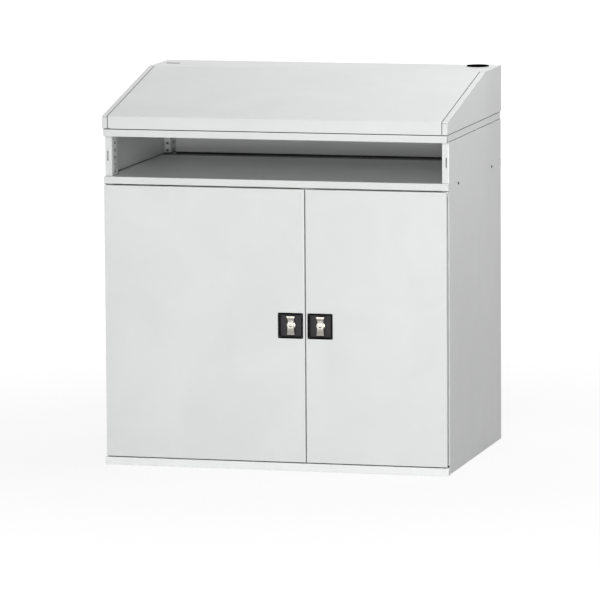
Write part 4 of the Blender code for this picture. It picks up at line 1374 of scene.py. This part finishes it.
class DESK_OT_stage(bpy.types.Operator):
    """Set the camera, the pale floor and the soft lamps"""
    bl_idname = "desk.stage"
    bl_label = "Stage"

    target = Vector((0.0, 0.0, 0.7))
    # Place, width and height of each lamp
    lamps = {
        "key": ((0.9, -6.4, 2.6), 3.0, 1.6),
        "level": ((0.9, -6.4, 1.2), 3.0, 0.5),
        "low": ((0.9, -6.4, 0.5), 3.0, 0.7),
        "top": ((0.0, 0.9, 3.6), 1.6, 1.6),
        "side": ((1.5, -0.2, 1.9), 0.5, 0.5),
    }
    sight = 400.0            # how far the camera sees
    floor_tones = (0.99, 1.01)
    floor_glow = 1.08        # keeps the floor white where the desk shades it a little

    def execute(self, context):
        stage = context.scene.desk_stage
        self.camera(context, stage)
        self.floor(stage)
        self.world(context, stage)
        for name, (place, wide, tall) in self.lamps.items():
            self.lamp(name, Vector(place), wide, tall, getattr(stage, name))
        context.scene.view_settings.view_transform = "Standard"
        return {"FINISHED"}

    def camera(self, context, stage):
        """The camera, at the photograph's angle."""
        data = bpy.data.cameras.new("photo_camera")
        data.lens = stage.lens
        data.clip_end = self.sight
        made = add_object(data.name, data)
        yaw, pitch, roll = stage.camera_turn
        turn = Matrix.Rotation(yaw, 4, "Z") @ Matrix.Rotation(math.pi / 2 - pitch, 4, "X")
        turn = turn @ Matrix.Rotation(roll, 4, "Z")
        made.matrix_world = Matrix.Translation(stage.camera_place) @ turn
        context.scene.camera = made

    def seen_white(self, tree):
        """1 for what the camera sees, straight, in gloss or through glass."""
        path = tree.nodes.new("ShaderNodeLightPath")
        total = path.outputs["Is Camera Ray"]
        for ray in ("Is Glossy Ray", "Is Transmission Ray"):
            either = add(tree, "ShaderNodeMath", {0: total, 1: path.outputs[ray]}, operation="MAXIMUM")
            total = either.outputs["Value"]
        return total

    def floor(self, stage):
        """Pale floor that shows near white and keeps the desk's shadow."""
        material, tree, shader = blank_finish("pale_floor")
        place = tree.nodes.new("ShaderNodeTexCoord").outputs["Object"]
        cloud = noise(tree, place, Scale=1.5, Detail=2.0)
        feed(tree, shader, {
            "Base Color": tinted(tree, cloud, Vector(stage.floor_colour), self.floor_tones),
            "Roughness": 1.0,
            "Specular IOR Level": 0.0,
        })
        white = add(tree, "ShaderNodeEmission", {"Strength": self.floor_glow})
        away = add(tree, "ShaderNodeVectorMath", {0: place}, operation="LENGTH")
        fade = ranged(tree, away.outputs["Value"], stage.floor_white, 1.0, stage.floor_near)
        share = add(tree, "ShaderNodeMath", {0: self.seen_white(tree), 1: fade}, operation="MULTIPLY")
        mix = add(tree, "ShaderNodeMixShader", {
            "Fac": share.outputs["Value"], 1: shader.outputs["BSDF"], 2: white.outputs["Emission"]})
        feed(tree, tree.nodes["Material Output"], {"Surface": mix.outputs["Shader"]})
        bm = bmesh.new()
        bmesh.ops.create_grid(bm, x_segments=1, y_segments=1, size=stage.floor_size / 2)
        bmesh.ops.translate(bm, vec=DOWN * CLEAR, verts=bm.verts[:])
        mesh = mesh_of(bm, "floor")
        mesh.materials.append(material)
        add_object("floor", mesh)

    def world(self, context, stage):
        """White background, and even light for the desk."""
        world = bpy.data.worlds.new("studio")
        world.use_nodes = True
        tree = world.node_tree
        level = ranged(tree, self.seen_white(tree), stage.sky, 1.0, (0.0, 1.0))
        feed(tree, tree.nodes["Background"], {"Color": (1.0, 1.0, 1.0, 1.0), "Strength": level})
        context.scene.world = world

    def lamp(self, name, place, wide, tall, energy):
        """A soft lamp turned to the desk."""
        data = bpy.data.lights.new(f"{name}_lamp", "AREA")
        data.shape = "RECTANGLE"
        data.size, data.size_y = wide, tall
        data.energy = energy
        turn = (self.target - place).to_track_quat("-Z", "Y").to_matrix().to_4x4()
        add_object(data.name, data).matrix_world = Matrix.Translation(place) @ turn


OPERATORS = (
    DESK_OT_base_tray, DESK_OT_back_panel, DESK_OT_side_panels, DESK_OT_uprights, DESK_OT_compartment_floor,
    DESK_OT_top_tray, DESK_OT_shelves, DESK_OT_doors, DESK_OT_hood_sheet, DESK_OT_hood_cheeks,
    DESK_OT_lock_plates, DESK_OT_turn_handles, DESK_OT_key_plugs, DESK_OT_grommet, DESK_OT_floor_screws,
    DESK_OT_fittings, DESK_OT_stage,
)


class DESK_PT_desk(bpy.types.Panel):
    """Sizes, finishes and build steps of the desk"""
    bl_idname = "DESK_PT_desk"
    bl_label = "Standing desk"
    bl_space_type = "VIEW_3D"
    bl_region_type = "UI"
    bl_category = "Desk"

    def draw(self, context):
        for name, kind in GROUPS:
            box = self.layout.box()
            box.label(text=kind.__doc__)
            for key in kind.__annotations__:
                box.prop(getattr(context.scene, name), key)
        for operator in OPERATORS:
            self.layout.operator(operator.bl_idname)


def register():
    """Make the sizes, steps and panel known."""
    for name, kind in GROUPS:
        bpy.utils.register_class(kind)
        setattr(bpy.types.Scene, name, PointerProperty(type=kind))
    for kind in (*OPERATORS, DESK_PT_desk):
        bpy.utils.register_class(kind)


def unregister():
    """Take the sizes, steps and panel away again."""
    for kind in (DESK_PT_desk, *reversed(OPERATORS)):
        bpy.utils.unregister_class(kind)
    for name, kind in reversed(GROUPS):
        delattr(bpy.types.Scene, name)
        bpy.utils.unregister_class(kind)


def main():
    """Build the desk step by step."""
    register()
    for operator in OPERATORS:
        group, step = operator.bl_idname.split(".")
        getattr(getattr(bpy.ops, group), step)()


if __name__ == "__main__":
    main()
